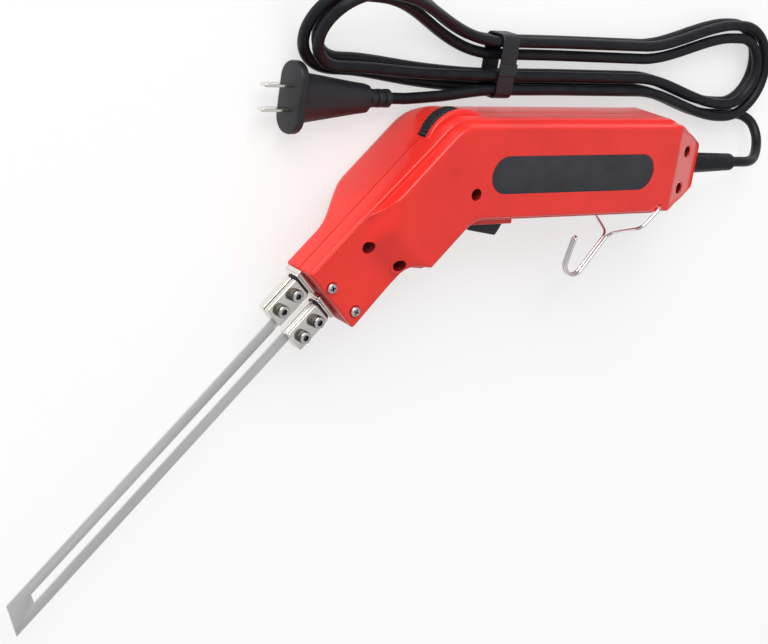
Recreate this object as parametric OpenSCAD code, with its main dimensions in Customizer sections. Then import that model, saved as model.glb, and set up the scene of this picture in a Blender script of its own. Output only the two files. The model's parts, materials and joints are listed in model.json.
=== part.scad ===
// Electric hot knife lying on its right flank, lengths in millimetres.
// X runs along the handle to the tail, Y to the dial side, Z up through the label flank.
// The origin is the middle of the flat face of the transformer bay, which rests on the floor.

/* [Body] */
// Angle of the head below the handle
head_angle = 46; // [40:1:52]
// Height of the head across its flank
head_h = 53; // [49:1:57]
// Distance of the head's lower edge from its axis
head_low = 28; // [26:0.5:29]
// Reach of the nose face from the middle of the bay
nose_reach = 80.7; // [78:0.1:86]
// Drop of the nose's lower edge below the head's axis
nose_low = 20.3; // [18:0.1:22]
// Half width of the nose
nose_half_w = 11.5; // [11:0.1:13]
// Height of the handle's top edge above the origin
handle_top = 42; // [40:0.5:45]
// Height of the handle across its flank
handle_h = 56.5; // [53:0.5:60]
// Reach of the tail end from the origin
tail_reach = 198; // [192:1:208]
// Depth of the left shell
left_depth = 20.5; // [19.5:0.1:23]
// Depth of the right shell along the handle
right_depth = 20.5; // [19.5:0.1:23]
// Depth of the transformer bay
bay_depth = 31; // [30:0.5:36]
// Half width of the raised ridge along the edges
ridge_half_w = 14; // [12:0.5:15]
// Drop from the ridge to the flank's shoulder
shoulder_drop = 2.6; // [1.5:0.1:3.5]
// Rounding of the flank's edge
flank_round = 1.2; // [0.6:0.1:2]
// Wall of the shells
wall = 2.5; // [2:0.1:3]

/* [Label] */
// Length of the label
label_len = 122; // [100:1:130]
// Height of the label
label_h = 21; // [16:0.5:24]
// Thickness of the label
label_t = 0.5; // [0.3:0.1:0.8]

/* [Blade and terminals] */
// Free length of the blade from the clamp blocks
blade_len = 204; // [100:1:260]
// Width of one leg of the blade
blade_leg_w = 6.2; // [4:0.1:6.6]
// Width of the slot between the legs
blade_slot_w = 5.2; // [4.5:0.1:7]
// Thickness of the blade
blade_t = 1; // [0.6:0.1:1.2]
// Length of the oblique tip
blade_tip_len = 8; // [4:0.5:14]
// Distance between the middles of the two terminals
terminal_pitch = 20.8; // [20:0.1:22]
// Length of a clamp block
block_len = 22.5; // [20:0.5:26]
// Height of a clamp block
block_h = 13.3; // [12:0.1:14]
// Depth of a clamp block behind the blade
block_depth = 5; // [4.5:0.1:8]
// Thickness of a clamp plate
plate_t = 3.2; // [2:0.1:4]
// Thread diameter of the cap screws
cap_screw_d = 4; // [3:0.5:4]
// Distance between the two cap screws of a block
cap_screw_pitch = 11; // [9:0.5:12]

/* [Controls] */
// Radius of the dial wheel
dial_r = 17.5; // [16:0.1:18]
// Width of the dial wheel
dial_w = 7; // [5:0.5:8]
// Number of knurls on the dial wheel
dial_knurls = 48; // [24:2:60]
// Radius of the dial guard
guard_r = 23.8; // [22.5:0.1:25]
// Thickness of the dial guard
guard_t = 3; // [2:0.5:4]
// Width of the trigger
trigger_w = 11; // [8:0.5:14]
// Reach of the trigger from its pin
trigger_reach = 27.5; // [26:0.5:29]
// Depth of the rim round the trigger
trigger_rim_h = 4.5; // [2:0.5:6]
// Diameter of the trigger's pin
trigger_pin_d = 3; // [2:0.5:4]

/* [Hook] */
// Diameter of the hook's wire
hook_wire_d = 2; // [1.6:0.1:2.4]
// Radius of the hook's curve
hook_r = 7.3; // [6:0.1:9]

/* [Cord] */
// Diameter of the cord
cord_d = 6.2; // [5.6:0.1:6.4]
// Length of the strain relief outside the tail
relief_len = 41; // [30:1:41]
// Diameter of the strain relief at the tail
relief_d = 12.8; // [11:0.1:14]
// Diameter of the strain relief at its tip
relief_tip_d = 10.4; // [8:0.1:11.5]
// Width of the tie round the hank
tie_w = 11.5; // [6:0.5:16]
// Thickness of the tie
tie_t = 1.2; // [0.8:0.1:1.6]

/* [Plug] */
// Width of the plug's flange
plug_flange_w = 38; // [34:0.5:42]
// Height of the plug's flange
plug_flange_h = 20; // [19:0.5:22]
// Length of the plug's body behind the flange
plug_body_len = 44; // [36:1:50]
// Distance between the pins
pin_pitch = 12.7; // [10:0.1:19]
// Length of a pin
pin_len = 17; // [15:0.5:18]

/* [Hidden] */
$fn = 48;

red = [0.86, 0.16, 0.13];
black = [0.05, 0.05, 0.055];
steel = [0.72, 0.72, 0.74];
copper = [0.72, 0.42, 0.24];

// Clearances and shared small sizes
run_gap = 0.05;
slide_gap = 0.3;
cut_over = 1;
mid_z = bay_depth;

// Outline of the body
handle_bottom = handle_top - handle_h;
head_top = head_h - head_low;
neck_drop = 18.6;
neck_u = 37;
heel_u = 29.6;
tail_face_top = handle_top - 15.5;
tail_face_low = handle_bottom + 13.5;
tail_cut_top = 31;
tail_cut_low = 33;
bend_r = 22;
inner_bend_r = 14;

// A point of the head: u along its axis to the nose, v up across it
function head(u, v) = [
  -u * cos(head_angle) - v * sin(head_angle),
  -u * sin(head_angle) + v * cos(head_angle)
];
// X at which the head's edge at v meets the handle's edge at y
function bend_x(v, y) = head(-(y - v * cos(head_angle)) / sin(head_angle), v)[0];

function body_corners() = [
  [head(nose_reach, -nose_low), 1.5],
  [head(neck_u, -neck_drop), 6],
  [head(heel_u, -head_low), 4],
  [[bend_x(-head_low, handle_bottom), handle_bottom], inner_bend_r],
  [[tail_reach - tail_cut_low, handle_bottom], 6],
  [[tail_reach, tail_face_low], 4],
  [[tail_reach, tail_face_top], 4],
  [[tail_reach - tail_cut_top, handle_top], 8],
  [[bend_x(head_top, handle_top), handle_top], bend_r],
  [head(nose_reach, head_top), 1.5]
];

// Closed outline with corners moved inwards by a distance and rounded
arc_steps = 6;
function unit(v) = v / norm(v);
function inward(v) = [-v[1], v[0]];
function moved(c, i, d) =
  let (
    n = len(c),
    p = c[(i + n - 1) % n][0],
    q = c[i][0],
    r = c[(i + 1) % n][0],
    m = inward(unit(q - p)),
    k = inward(unit(r - q))
  )
  q + d * (m + k) / (1 + m * k);
function corner_arc(p, q, r, radius) =
  let (
    e = unit(p - q),
    f = unit(r - q),
    half = acos(max(-1, min(1, e * f))) / 2,
    reach = radius / tan(half),
    middle = q + unit(e + f) * radius / sin(half),
    from = q + e * reach - middle,
    to = q + f * reach - middle,
    turn = 180 - 2 * half,
    side = from[0] * to[1] - from[1] * to[0] > 0 ? 1 : -1
  )
  [for (s = [0:arc_steps]) let (a = side * turn * s / arc_steps)
    middle + [from[0] * cos(a) - from[1] * sin(a), from[0] * sin(a) + from[1] * cos(a)]];
function is_hollow(c, i) =
  let (
    n = len(c),
    e = c[i][0] - c[(i + n - 1) % n][0],
    f = c[(i + 1) % n][0] - c[i][0]
  )
  e[0] * f[1] - e[1] * f[0] < 0;
least_round = 0.3;
function outline(c, d) =
  let (
    n = len(c),
    q = [for (i = [0:n - 1]) moved(c, i, d)]
  )
  [for (i = [0:n - 1])
    let (r = is_hollow(c, i) ? c[i][1] + d : max(c[i][1] - d, least_round))
    each corner_arc(q[(i + n - 1) % n], q[i], q[(i + 1) % n], r)];

// Places along the depth are given from the parting plane
module at_depth(w) { translate([0, 0, mid_z + w]) children(); }
module in_head() {
  translate([0, 0, mid_z]) rotate(180 + head_angle) mirror([0, 1, 0]) children();
}
module body_slab(inset, w0, w1) {
  at_depth(min(w0, w1)) linear_extrude(abs(w1 - w0)) polygon(outline(body_corners(), inset));
}

// Space beside the nose where the flank is drawn in
flare_end_u = 50;
left_flare_u = 33;
right_flare_u = 30;
module beside_nose(main_w, nose_w, main_u, end_u) {
  far = 3 * bay_depth;
  run = end_u - main_u;
  rise = main_w - nose_w;
  in_head() rotate([90, 0, 0]) linear_extrude(4 * head_h, center = true)
    polygon([
      [main_u - run, main_w + rise], [end_u, nose_w], [2 * nose_reach, nose_w],
      [2 * nose_reach, far], [main_u - run, far]
    ]);
}

// Space beside the tail, where the flanks close in towards the cord
tail_taper = 28;
tail_half_w = 9;
module beside_tail(main_w, end_w) {
  far = 3 * bay_depth;
  from_x = tail_reach - tail_taper;
  rise = main_w - end_w;
  at_depth(0) rotate([90, 0, 0]) linear_extrude(4 * handle_h, center = true)
    polygon([
      [from_x - tail_taper, main_w + rise], [tail_reach + tail_taper, end_w - rise],
      [tail_reach + tail_taper, far], [from_x - tail_taper, far]
    ]);
}
module outside_left(gap) {
  beside_nose(left_depth - gap, nose_half_w - gap, left_flare_u, flare_end_u);
  beside_tail(left_depth - gap, tail_half_w - gap);
}
module outside_right(gap) {
  mirror_depth() beside_nose(right_depth - gap, nose_half_w - gap, right_flare_u, flare_end_u);
  mirror_depth() beside_tail(right_depth - gap, tail_half_w - gap);
}

// Spans of the bay along the head: at its foot, at its shoulder and at its flat face
bay_foot = [-44, 53];
bay_knee = [-31, 34];
bay_face = [-24, 25];
bay_round = 5;
bay_face_in = 4.5;
bay_corner_r = 5;

// Screws that join the shells: place, and depth of the counterbore's floor
boss_r = 4;
counterbore_r = 3.4;
case_screw_r = 1.5;
case_screw_hole_r = 1.75;
case_screw_head_r = 2.9;
case_screw_head_h = 2.2;
case_screw_seat = 5;
case_screw_depth = 12;
flare_screw_u = [47.2, 40.7];
flare_screw_v = [10, -11];
bend_screw = [21, 2.2];
tail_screw_back = [15.4, 17.5];
tail_screw_y = [23, 1];
case_screw_sites = [
  head(flare_screw_u[0], flare_screw_v[0]), head(flare_screw_u[1], flare_screw_v[1]), bend_screw,
  [tail_reach - tail_screw_back[0], tail_screw_y[0]], [tail_reach - tail_screw_back[1], tail_screw_y[1]]
];
// Depth at which each boss of the right shell sinks into the wall
function bay_wall(u) =
  let (slope = (bay_depth - bay_round - ridge_half_w) / (bay_foot[1] - bay_knee[1]))
  ridge_half_w + (bay_foot[1] - u) * slope - wall / 2;
function tail_wall(x) =
  right_depth - (right_depth - tail_half_w) * (x - tail_reach + tail_taper) / tail_taper - wall / 2;
case_boss_depth = [
  bay_wall(flare_screw_u[0]), bay_wall(flare_screw_u[1]), bay_depth - wall / 2,
  tail_wall(tail_reach - tail_screw_back[0]), tail_wall(tail_reach - tail_screw_back[1])
];
nose_screw_sites = [head(nose_reach - 4.6, 9), head(nose_reach - 6.6, -13)];
nose_screw_r = 1.4;
nose_screw_head_r = 2.8;
nose_screw_head_h = 1.6;

// Dial at the bend
dial_at = [11.7, 27.5];
dial_shaft_r = 3;
dial_slot_gap = 0.7;
guard_at = [15.5, 21.6];
guard_from = dial_w / 2 + dial_slot_gap;

// Trigger and its pin
trigger_at = [31, handle_bottom + 5.5];
trigger_press = 8;
trigger_top = trigger_at[1] + 4;
trigger_lip = 4;
trigger_lip_low = handle_bottom + wall + shoulder_drop / 2 + slide_gap;
slot_front = trigger_at[0] - 5.5;
slot_rear = trigger_at[0] + trigger_reach + 1.2;
slot_half_w = trigger_w / 2 + 0.6;
pin_boss_r = 3.6;
pin_hold = 3;

// Hook's bores in the flanks
hook_at = [tail_reach - 35, handle_bottom + 6];
hook_boss_r = 3;
hook_boss_len = 4;
hook_gap = 0.5;
hook_leg_w = left_depth + hook_gap + hook_wire_d / 2;

// Cord's way out of the tail
cord_y = 12;
relief_neck_r = 6;
relief_collar_r = 7.5;
relief_collar_t = 3;
relief_tip_x = tail_reach + relief_len;
clamp_x = tail_reach - 29;
clamp_len = 6;
clamp_half_h = 10;
clamp_screw_r = 1.25;
clamp_screw_off = 7;

// Transformer, centred ahead of the dial
core_u = 7;
core_stack = 20;
core_half_v = 19;
core_leg = 13;
core_outer = 6.5;
core_low = -26;
core_high = 14;
core_yoke = 6.5;

// Board and switch
board_t = 1.6;
board_w = -11;
board_x = [6, 80];
board_y = [15, 34];
switch_x = [38, 58];
switch_y = [trigger_top + 5.5, trigger_top + 18];
switch_half_w = 5;
// The switch's seat ends below the board, whatever the height of the handle
switch_seat_y = [switch_y[0] + 2, min(switch_y[0] + 10, board_y[0] - slide_gap)];
board_seat_x = [board_x[0] + 50, board_x[1] - 6];
board_seat_y = board_y[1] - 10;
capacitor_x = [board_x[1] - 20, board_x[1] - 4];
lead_drop = 1;
plunger_x = 48;
plunger_r = 1.6;

module left_outer() {
  body_slab(0, 0, ridge_half_w);
  body_slab(shoulder_drop, ridge_half_w, left_depth - flank_round);
  body_slab(shoulder_drop + flank_round, left_depth - flank_round, left_depth);
  at_depth(guard_from - 1) translate(guard_at) cylinder(r = guard_r, h = guard_t + 1);
}

// Rim round the trigger's slot, from the head's lower edge to behind the slot
rim_t = 1.6;
module trigger_rim(side) {
  low = handle_bottom - trigger_rim_h;
  high = handle_bottom + 1;
  root = head_low - 0.8;
  rear = slot_rear + rim_t;
  at_depth(side > 0 ? 0 : -slot_half_w - rim_t) linear_extrude(slot_half_w + rim_t)
    polygon([[bend_x(-root, low), low], [rear, low], [rear, high], [bend_x(-root, high), high]]);
}

module boss(site, from, to, r) { at_depth(from) translate(site) cylinder(r = r, h = to - from); }

module left_housing() {
  inner = left_depth - wall;
  color(red) difference() {
    union() {
      difference() {
        left_outer();
        difference() {
          body_slab(wall, -cut_over, ridge_half_w - wall);
          outside_left(wall);
        }
        difference() {
          body_slab(wall + shoulder_drop, 0, inner);
          outside_left(wall);
        }
        nose_opening();
      }
      for (s = case_screw_sites) boss(s, 0, inner + wall / 2, boss_r);
      boss(trigger_at, slot_half_w + slide_gap, inner + wall / 2, pin_boss_r);
      trigger_rim(1);
      boss(hook_at, inner - hook_boss_len, inner + wall / 2, hook_boss_r);
      left_core_ribs();
    }
    outside_left(0);
    for (s = case_screw_sites) {
      boss(s, -cut_over, left_depth + cut_over, case_screw_hole_r);
      boss(s, case_screw_seat, left_depth + cut_over, counterbore_r);
    }
    for (s = nose_screw_sites) boss(s, 0, left_depth, nose_screw_r + slide_gap);
    boss(trigger_at, 0, slot_half_w + pin_hold, trigger_pin_d / 2 + run_gap);
    boss(hook_at, inner - hook_boss_len - cut_over, left_depth + cut_over, hook_wire_d / 2 + run_gap);
    shared_cuts();
    at_depth(left_depth - label_t) label_shape(cut_over, slide_gap / 3);
  }
}

module left_core_ribs() {
  for (v = [-core_half_v + 3, core_half_v - 3])
    in_head() translate([core_u, v, (core_high + left_depth - wall / 2) / 2])
      cube([core_stack, 4, left_depth - wall / 2 - core_high], center = true);
}

// Mouth of the nose that the insulator fills
insulator_len = 14;
module nose_opening() {
  in_head() translate([nose_reach, (nose_top_in - nose_low_in) / 2, 0])
    cube([2 * (insulator_len + 8), nose_top_in + nose_low_in, 2 * nose_side_in], center = true);
}
nose_top_in = head_top - wall;
nose_low_in = nose_low - wall - 0.7;
nose_side_in = nose_half_w - wall;

// Slots of the dial and trigger, and the hole for the cord
module shared_cuts() {
  at_depth(-guard_from) translate(dial_at) cylinder(r = dial_r + dial_slot_gap, h = 2 * guard_from);
  at_depth(-slot_half_w) translate([slot_front, handle_bottom - trigger_rim_h - cut_over, 0])
    cube([slot_rear - slot_front, trigger_rim_h + wall + shoulder_drop / 2 + 2 * cut_over, 2 * slot_half_w]);
  at_depth(0) translate([tail_reach - wall - cut_over, cord_y, 0]) rotate([0, 90, 0])
    cylinder(r = relief_neck_r + slide_gap / 3, h = wall + 2 * cut_over);
  along_x(tail_reach - wall - relief_collar_t - cut_over, tail_reach - wall, cord_y, 0,
    relief_collar_r + slide_gap);
}

// Bulge over the transformer, drawn in by a wall thickness for its hollow
module bay(inset) {
  big_v = head_top - inset;
  intersection() {
    in_head() hull() {
      bay_slab([bay_foot[0] + inset, bay_foot[1] - inset, big_v - 0.2], -ridge_half_w);
      bay_slab([bay_knee[0] + inset, bay_knee[1] - inset, big_v - 0.6], -(bay_depth - bay_round - inset));
      bay_slab([bay_face[0] + inset, bay_face[1] - inset, big_v - bay_face_in], -(bay_depth - inset));
    }
    body_slab(inset + 0.3, cut_over, -bay_depth - cut_over);
  }
}
module bay_slab(span, w) {
  thin = 0.02;
  corner = bay_corner_r;
  translate([0, 0, w])
    for (u = [span[0] + corner, span[1] - corner])
      for (v = [corner - span[2], span[2] - corner])
        translate([u, v, 0]) cylinder(r = corner, h = thin, $fn = 24);
}

module right_outer() {
  body_slab(0, 0, -12);
  body_slab(0.8, -12, -right_depth + 4.5);
  body_slab(2, -right_depth + 4.5, -right_depth + flank_round);
  body_slab(shoulder_drop + 0.9, -right_depth + flank_round, -right_depth);
}

module right_housing() {
  inner = right_depth - wall;
  color(red) difference() {
    union() {
      difference() {
        union() {
          difference() {
            right_outer();
            outside_right(0);
          }
          bay(0);
        }
        difference() {
          body_slab(wall + shoulder_drop / 2, cut_over, -inner);
          outside_right(wall);
        }
        bay(wall);
        nose_opening();
      }
      for (i = [0:len(case_screw_sites) - 1])
        boss(case_screw_sites[i], -case_boss_depth[i], 0, boss_r);
      boss(trigger_at, -inner - wall / 2, -slot_half_w - slide_gap, pin_boss_r);
      trigger_rim(-1);
      boss(hook_at, -inner - wall / 2, -inner + hook_boss_len, hook_boss_r);
      right_supports();
    }
    for (s = case_screw_sites) boss(s, -case_screw_depth - 0.5, cut_over, case_screw_r + run_gap);
    for (s = nose_screw_sites) boss(s, -nose_half_w + 1, 0, nose_screw_r + run_gap);
    boss(trigger_at, -slot_half_w - pin_hold, 0, trigger_pin_d / 2 + run_gap);
    boss(hook_at, -right_depth - cut_over, -inner + hook_boss_len + cut_over, hook_wire_d / 2 + run_gap);
    for (y = [cord_y - clamp_screw_off, cord_y + clamp_screw_off])
      boss([clamp_x + clamp_len / 2, y], -inner, 0, clamp_screw_r + run_gap);
    shared_cuts();
  }
}
module mirror_depth() { translate([0, 0, 2 * mid_z]) mirror([0, 0, 1]) children(); }

// Seats inside the right shell for the core, board, switch and cord
module right_supports() {
  floor_w = -(bay_depth - wall / 2);
  for (v = [-core_half_v + 3, core_half_v - 3])
    in_head() translate([core_u, v, (floor_w + core_low) / 2])
      cube([core_stack, 4, core_low - floor_w], center = true);
  inner = right_depth - wall / 2;
  for (x = board_seat_x) boss([x, board_seat_y], -inner, board_w - board_t, 2.5);
  at_depth(-inner) translate([switch_x[0] + 3, switch_seat_y[0], 0])
    cube([switch_x[1] - switch_x[0] - 6, switch_seat_y[1] - switch_seat_y[0], inner - switch_half_w]);
  at_depth(-inner) translate([clamp_x, cord_y - clamp_half_h, 0])
    cube([clamp_len, 2 * clamp_half_h, inner - cord_d / 2]);
}

label_back = 106.8;
module label_shape(h, gap) {
  half_l = label_len / 2 + gap;
  half_h = label_h / 2 + gap;
  translate([tail_reach - label_back, cord_y + 0.6, 0]) linear_extrude(h)
    round_box([-half_l, -half_h], [half_l, half_h], half_h - 0.2);
}
module rating_label() { color([0.24, 0.24, 0.26]) at_depth(left_depth - label_t) label_shape(label_t, 0); }

module housing_screws() {
  color(steel) for (s = case_screw_sites) difference() {
    union() {
      boss(s, -case_screw_depth, case_screw_seat + 0.5, case_screw_r);
      boss(s, case_screw_seat, case_screw_seat + case_screw_head_h, case_screw_head_r);
    }
    cross_slot(s, case_screw_seat + case_screw_head_h, 1.7);
  }
}
module cross_slot(site, top, half) {
  deep = 1.1;
  thick = 0.7;
  at_depth(top) translate(site) for (a = [45, 135]) rotate(a)
    cube([2 * half, thick, 2 * deep], center = true);
}
module nose_screws() {
  color(steel) for (s = nose_screw_sites) difference() {
    union() {
      boss(s, -nose_half_w + 1.2, nose_half_w + 0.3, nose_screw_r);
      boss(s, nose_half_w, nose_half_w + nose_screw_head_h, nose_screw_head_r);
    }
    cross_slot(s, nose_half_w + nose_screw_head_h, 1.6);
  }
}

// Terminals: a stud through the insulator, a flange, a neck and a clamp block
terminal_mid_v = 6.9;
upper_v = terminal_mid_v + terminal_pitch / 2;
lower_v = terminal_mid_v - terminal_pitch / 2;
stud_r = 2.5;
flange_t = 2.4;
flange_h = terminal_pitch - 4.6;
flange_near_w = 3.5;
flange_far_w = -8.5;
neck_len = 2.6;
neck_half = 3;
neck_top = -2;
block_u = nose_reach + flange_t + neck_len + slide_gap;
block_end_u = block_u + block_len;
strap_t = 2.4;
strap_lug_u = nose_reach - insulator_len - strap_t;
nut_t = 3;
cap_screw_u = block_u + (block_len - cap_screw_pitch) / 2;
blade_w = 2 * blade_leg_w + blade_slot_w;
cap_screw_out = max(0, blade_w / 2 + cap_screw_d / 2 + slide_gap - terminal_pitch / 2);
function cap_screw_v(v) = v + (v > terminal_mid_v ? cap_screw_out : -cap_screw_out);
blade_gap = 0.05;
plate_low = blade_t / 2 + blade_gap;
block_top = -blade_t / 2 - blade_gap;

module nose_insulator() {
  fit = slide_gap;
  color([0.55, 0.53, 0.5]) difference() {
    in_head() translate([nose_reach - insulator_len, -nose_low_in + fit, -nose_side_in + fit])
      cube([insulator_len, nose_top_in + nose_low_in - 2 * fit, 2 * (nose_side_in - fit)]);
    for (v = [upper_v, lower_v]) in_head() translate([nose_reach - 2 * insulator_len, v, 0])
      rotate([0, 90, 0]) cylinder(r = stud_r + run_gap, h = 3 * insulator_len);
    for (s = nose_screw_sites) boss(s, -left_depth, left_depth, nose_screw_r + run_gap);
  }
}
module terminal(v) {
  flange_from = nose_reach + slide_gap;
  stud_from = strap_lug_u - nut_t - 2;
  color([0.82, 0.8, 0.75]) in_head() difference() {
    union() {
      translate([stud_from, v, 0]) rotate([0, 90, 0]) cylinder(r = stud_r, h = flange_from - stud_from + 0.5);
      translate([flange_from, v - flange_h / 2, flange_far_w])
        cube([flange_t, flange_h, flange_near_w - flange_far_w]);
      translate([flange_from, v - neck_half, -block_depth])
        cube([flange_t + neck_len + 1, 2 * neck_half, block_depth + neck_top]);
      translate([block_u, v - block_h / 2, -block_depth]) cube([block_len, block_h, block_depth + block_top]);
    }
    for (i = [0, 1]) translate([cap_screw_u + i * cap_screw_pitch, cap_screw_v(v), -block_depth - cut_over])
      cylinder(d = cap_screw_d + 2 * run_gap, h = block_depth + 2 * cut_over);
  }
}
module upper_terminal() { terminal(upper_v); }
module lower_terminal() { terminal(lower_v); }
module clamp_plate(v) {
  color([0.84, 0.82, 0.77]) in_head() difference() {
    translate([block_u, v - block_h / 2, plate_low]) cube([block_len, block_h, plate_t]);
    for (i = [0, 1]) translate([cap_screw_u + i * cap_screw_pitch, cap_screw_v(v), 0])
      cylinder(d = cap_screw_d + slide_gap, h = 2 * plate_t + cut_over);
  }
}
module upper_clamp_plate() { clamp_plate(upper_v); }
module lower_clamp_plate() { clamp_plate(lower_v); }
cap_head_r = 0.85 * cap_screw_d + 0.1;
module clamp_screws() {
  top = plate_low + plate_t;
  socket_across = 0.75 * cap_screw_d;
  color(steel) in_head() for (v = [upper_v, lower_v], i = [0, 1])
    translate([cap_screw_u + i * cap_screw_pitch, cap_screw_v(v), 0]) difference() {
      union() {
        translate([0, 0, -block_depth]) cylinder(d = cap_screw_d, h = block_depth + top + 0.5);
        translate([0, 0, top]) cylinder(r = cap_head_r, h = cap_screw_d);
      }
      translate([0, 0, top + 0.5 * cap_screw_d])
        cylinder(d = socket_across / cos(30), h = cap_screw_d, $fn = 6);
    }
}
module blade() {
  top = terminal_mid_v + blade_w / 2;
  low = terminal_mid_v - blade_w / 2;
  end = block_end_u + blade_len;
  slot_end = end - blade_tip_len - 10;
  color([0.62, 0.62, 0.63]) in_head() translate([0, 0, -blade_t / 2]) linear_extrude(blade_t)
    polygon([
      [block_u, low], [end, low], [end - blade_tip_len, top], [block_u, top],
      [block_u, top - blade_leg_w], [slot_end - 2, top - blade_leg_w],
      [slot_end, low + blade_leg_w], [block_u, low + blade_leg_w]
    ]);
}
module terminal_nuts() {
  nut_across = 8;
  color([0.8, 0.66, 0.35]) in_head() for (v = [upper_v, lower_v])
    translate([strap_lug_u - nut_t, v, 0]) rotate([0, 90, 0]) difference() {
      cylinder(d = nut_across / cos(30), h = nut_t, $fn = 6);
      translate([0, 0, -cut_over]) cylinder(r = stud_r + run_gap, h = nut_t + 2 * cut_over);
    }
}

// Heavy secondary turn: a copper strap round the core whose ends bolt to the terminals
strap_half_v = 10;
strap_w0 = 0.5;
strap_w = 6.6;
strap_back_u = core_u - core_stack / 2 - 4;
strap_turn_u = 34;
module strap_leg(side, v_end) {
  v0 = side * strap_half_v;
  hull_from = core_u + 8;
  linear_extrude(strap_w) polygon([
    [strap_back_u, v0 - strap_t / 2], [hull_from, v0 - strap_t / 2],
    [strap_turn_u, v_end - strap_t / 2], [strap_lug_u + strap_t, v_end - strap_t / 2],
    [strap_lug_u + strap_t, v_end + strap_t / 2], [strap_turn_u, v_end + strap_t / 2],
    [hull_from, v0 + strap_t / 2], [strap_back_u, v0 + strap_t / 2]
  ]);
}
lug_r = 4.7;
module secondary_strap() {
  color(copper) difference() {
    in_head() union() {
      translate([0, 0, strap_w0]) {
        strap_leg(1, upper_v);
        strap_leg(-1, lower_v);
        translate([strap_back_u - strap_t, -strap_half_v - strap_t / 2, 0])
          cube([strap_t, 2 * strap_half_v + strap_t, strap_w]);
      }
      for (v = [upper_v, lower_v]) translate([strap_lug_u, v, 0]) rotate([0, 90, 0])
        cylinder(r = lug_r, h = strap_t);
    }
    for (v = [upper_v, lower_v]) in_head() translate([0, v, 0]) rotate([0, 90, 0])
      cylinder(r = stud_r + run_gap, h = nose_reach);
    in_head() for (v = [upper_v, lower_v]) translate([strap_lug_u - nut_t - 3, v, 0])
      rotate([0, 90, 0]) cylinder(r = lug_r + slide_gap, h = nut_t + 3);
  }
}
module transformer_core() {
  window_w = core_half_v - core_outer - core_leg / 2;
  high = core_high - core_low - 2 * core_yoke;
  color([0.3, 0.31, 0.34]) in_head() difference() {
    translate([core_u - core_stack / 2, -core_half_v, core_low])
      cube([core_stack, 2 * core_half_v, core_high - core_low]);
    for (side = [0, 1]) mirror([0, side, 0])
      translate([core_u - core_stack, core_leg / 2, core_low + core_yoke])
        cube([2 * core_stack, window_w, high]);
  }
}
bobbin_wall = 0.8;
bobbin_fit = 0.15;
module core_sleeve(grow, from, to) {
  translate([core_u - core_stack / 2 - grow, -core_leg / 2 - grow, from])
    cube([core_stack + 2 * grow, core_leg + 2 * grow, to - from]);
}
bobbin_low = core_low + core_yoke + bobbin_fit;
bobbin_high = core_high - core_yoke - bobbin_fit;
winding_top = strap_w0 - 2;
module transformer_bobbin() {
  color([0.9, 0.88, 0.8]) in_head() difference() {
    union() {
      core_sleeve(bobbin_fit + bobbin_wall, bobbin_low, bobbin_high);
      core_sleeve(4.5, bobbin_low, bobbin_low + bobbin_wall);
      core_sleeve(4.5, winding_top + 0.1, winding_top + 0.1 + bobbin_wall);
    }
    core_sleeve(bobbin_fit, bobbin_low - cut_over, bobbin_high + cut_over);
  }
}
module primary_winding() {
  color([0.68, 0.36, 0.16]) in_head() difference() {
    core_sleeve(4.2, bobbin_low + bobbin_wall + 0.1, winding_top);
    core_sleeve(bobbin_fit + bobbin_wall + run_gap, bobbin_low, winding_top + cut_over);
  }
}

module box_at(x, y, w) {
  at_depth(w[0]) translate([x[0], y[0], 0]) cube([x[1] - x[0], y[1] - y[0], w[1] - w[0]]);
}
module control_board() { color([0.1, 0.4, 0.2]) box_at(board_x, board_y, [board_w - board_t, board_w]); }
pot_r = 7.6;
pot_top = -guard_from - slide_gap;
module potentiometer() {
  color([0.35, 0.36, 0.4]) difference() {
    boss(dial_at, board_w, pot_top, pot_r);
    boss(dial_at, board_w + 1, 0, dial_shaft_r + run_gap);
  }
}
module dial_wheel() {
  knurl_r = 0.55;
  color(black) difference() {
    union() {
      boss(dial_at, -dial_w / 2, dial_w / 2, dial_r);
      boss(dial_at, board_w + 1.5, 0, dial_shaft_r);
    }
    for (i = [0:dial_knurls - 1])
      boss(dial_at + dial_r * [cos(i * 360 / dial_knurls), sin(i * 360 / dial_knurls)],
        -dial_w, dial_w, knurl_r);
  }
}
triac_x = [30, 40];
triac_top = -6.5;
module triac() { color(black) box_at(triac_x, [board_y[0] + 3, board_y[1] - 1], [board_w, triac_top]); }
module heat_sink() {
  sink_y = [board_y[0] + 2, board_y[1] - 1];
  color([0.75, 0.75, 0.77]) {
    box_at([triac_x[0] - 2, triac_x[1] + 3], sink_y, [triac_top, triac_top + 1.5]);
    box_at([triac_x[1] + 1, triac_x[1] + 3], sink_y, [board_w, triac_top + 1.5]);
  }
}
module capacitor() {
  color([0.85, 0.75, 0.3]) box_at(capacitor_x, [board_y[0] + 3, board_y[1] - 3], [board_w, board_w + 8]);
}

module trigger() {
  low_front = trigger_at[1] - 11;
  front = trigger_at[0] - 4;
  rear = trigger_at[0] + trigger_reach;
  color(black) at_depth(-trigger_w / 2) difference() {
    linear_extrude(trigger_w) union() {
      intersection() {
        translate(trigger_at) circle(r = trigger_reach, $fn = 96);
        polygon([
          [front, trigger_top], [front, low_front], [front + 6, low_front - 2.6],
          [rear - 6, low_front - 6.2], [rear, low_front - 6.8], [rear, trigger_top]
        ]);
      }
      intersection() {
        translate(trigger_at) circle(r = trigger_reach + trigger_lip, $fn = 96);
        polygon([
          [trigger_at[0], trigger_lip_low], [rear + trigger_lip, trigger_lip_low],
          [rear + trigger_lip, trigger_top], [trigger_at[0], trigger_top]
        ]);
      }
    }
    translate([trigger_at[0], trigger_at[1], -cut_over])
      cylinder(d = trigger_pin_d + 2 * run_gap, h = trigger_w + 2 * cut_over);
  }
}
module trigger_pin() {
  half = slot_half_w + pin_hold - 0.2;
  color(steel) boss(trigger_at, -half, half, trigger_pin_d / 2);
}

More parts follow.
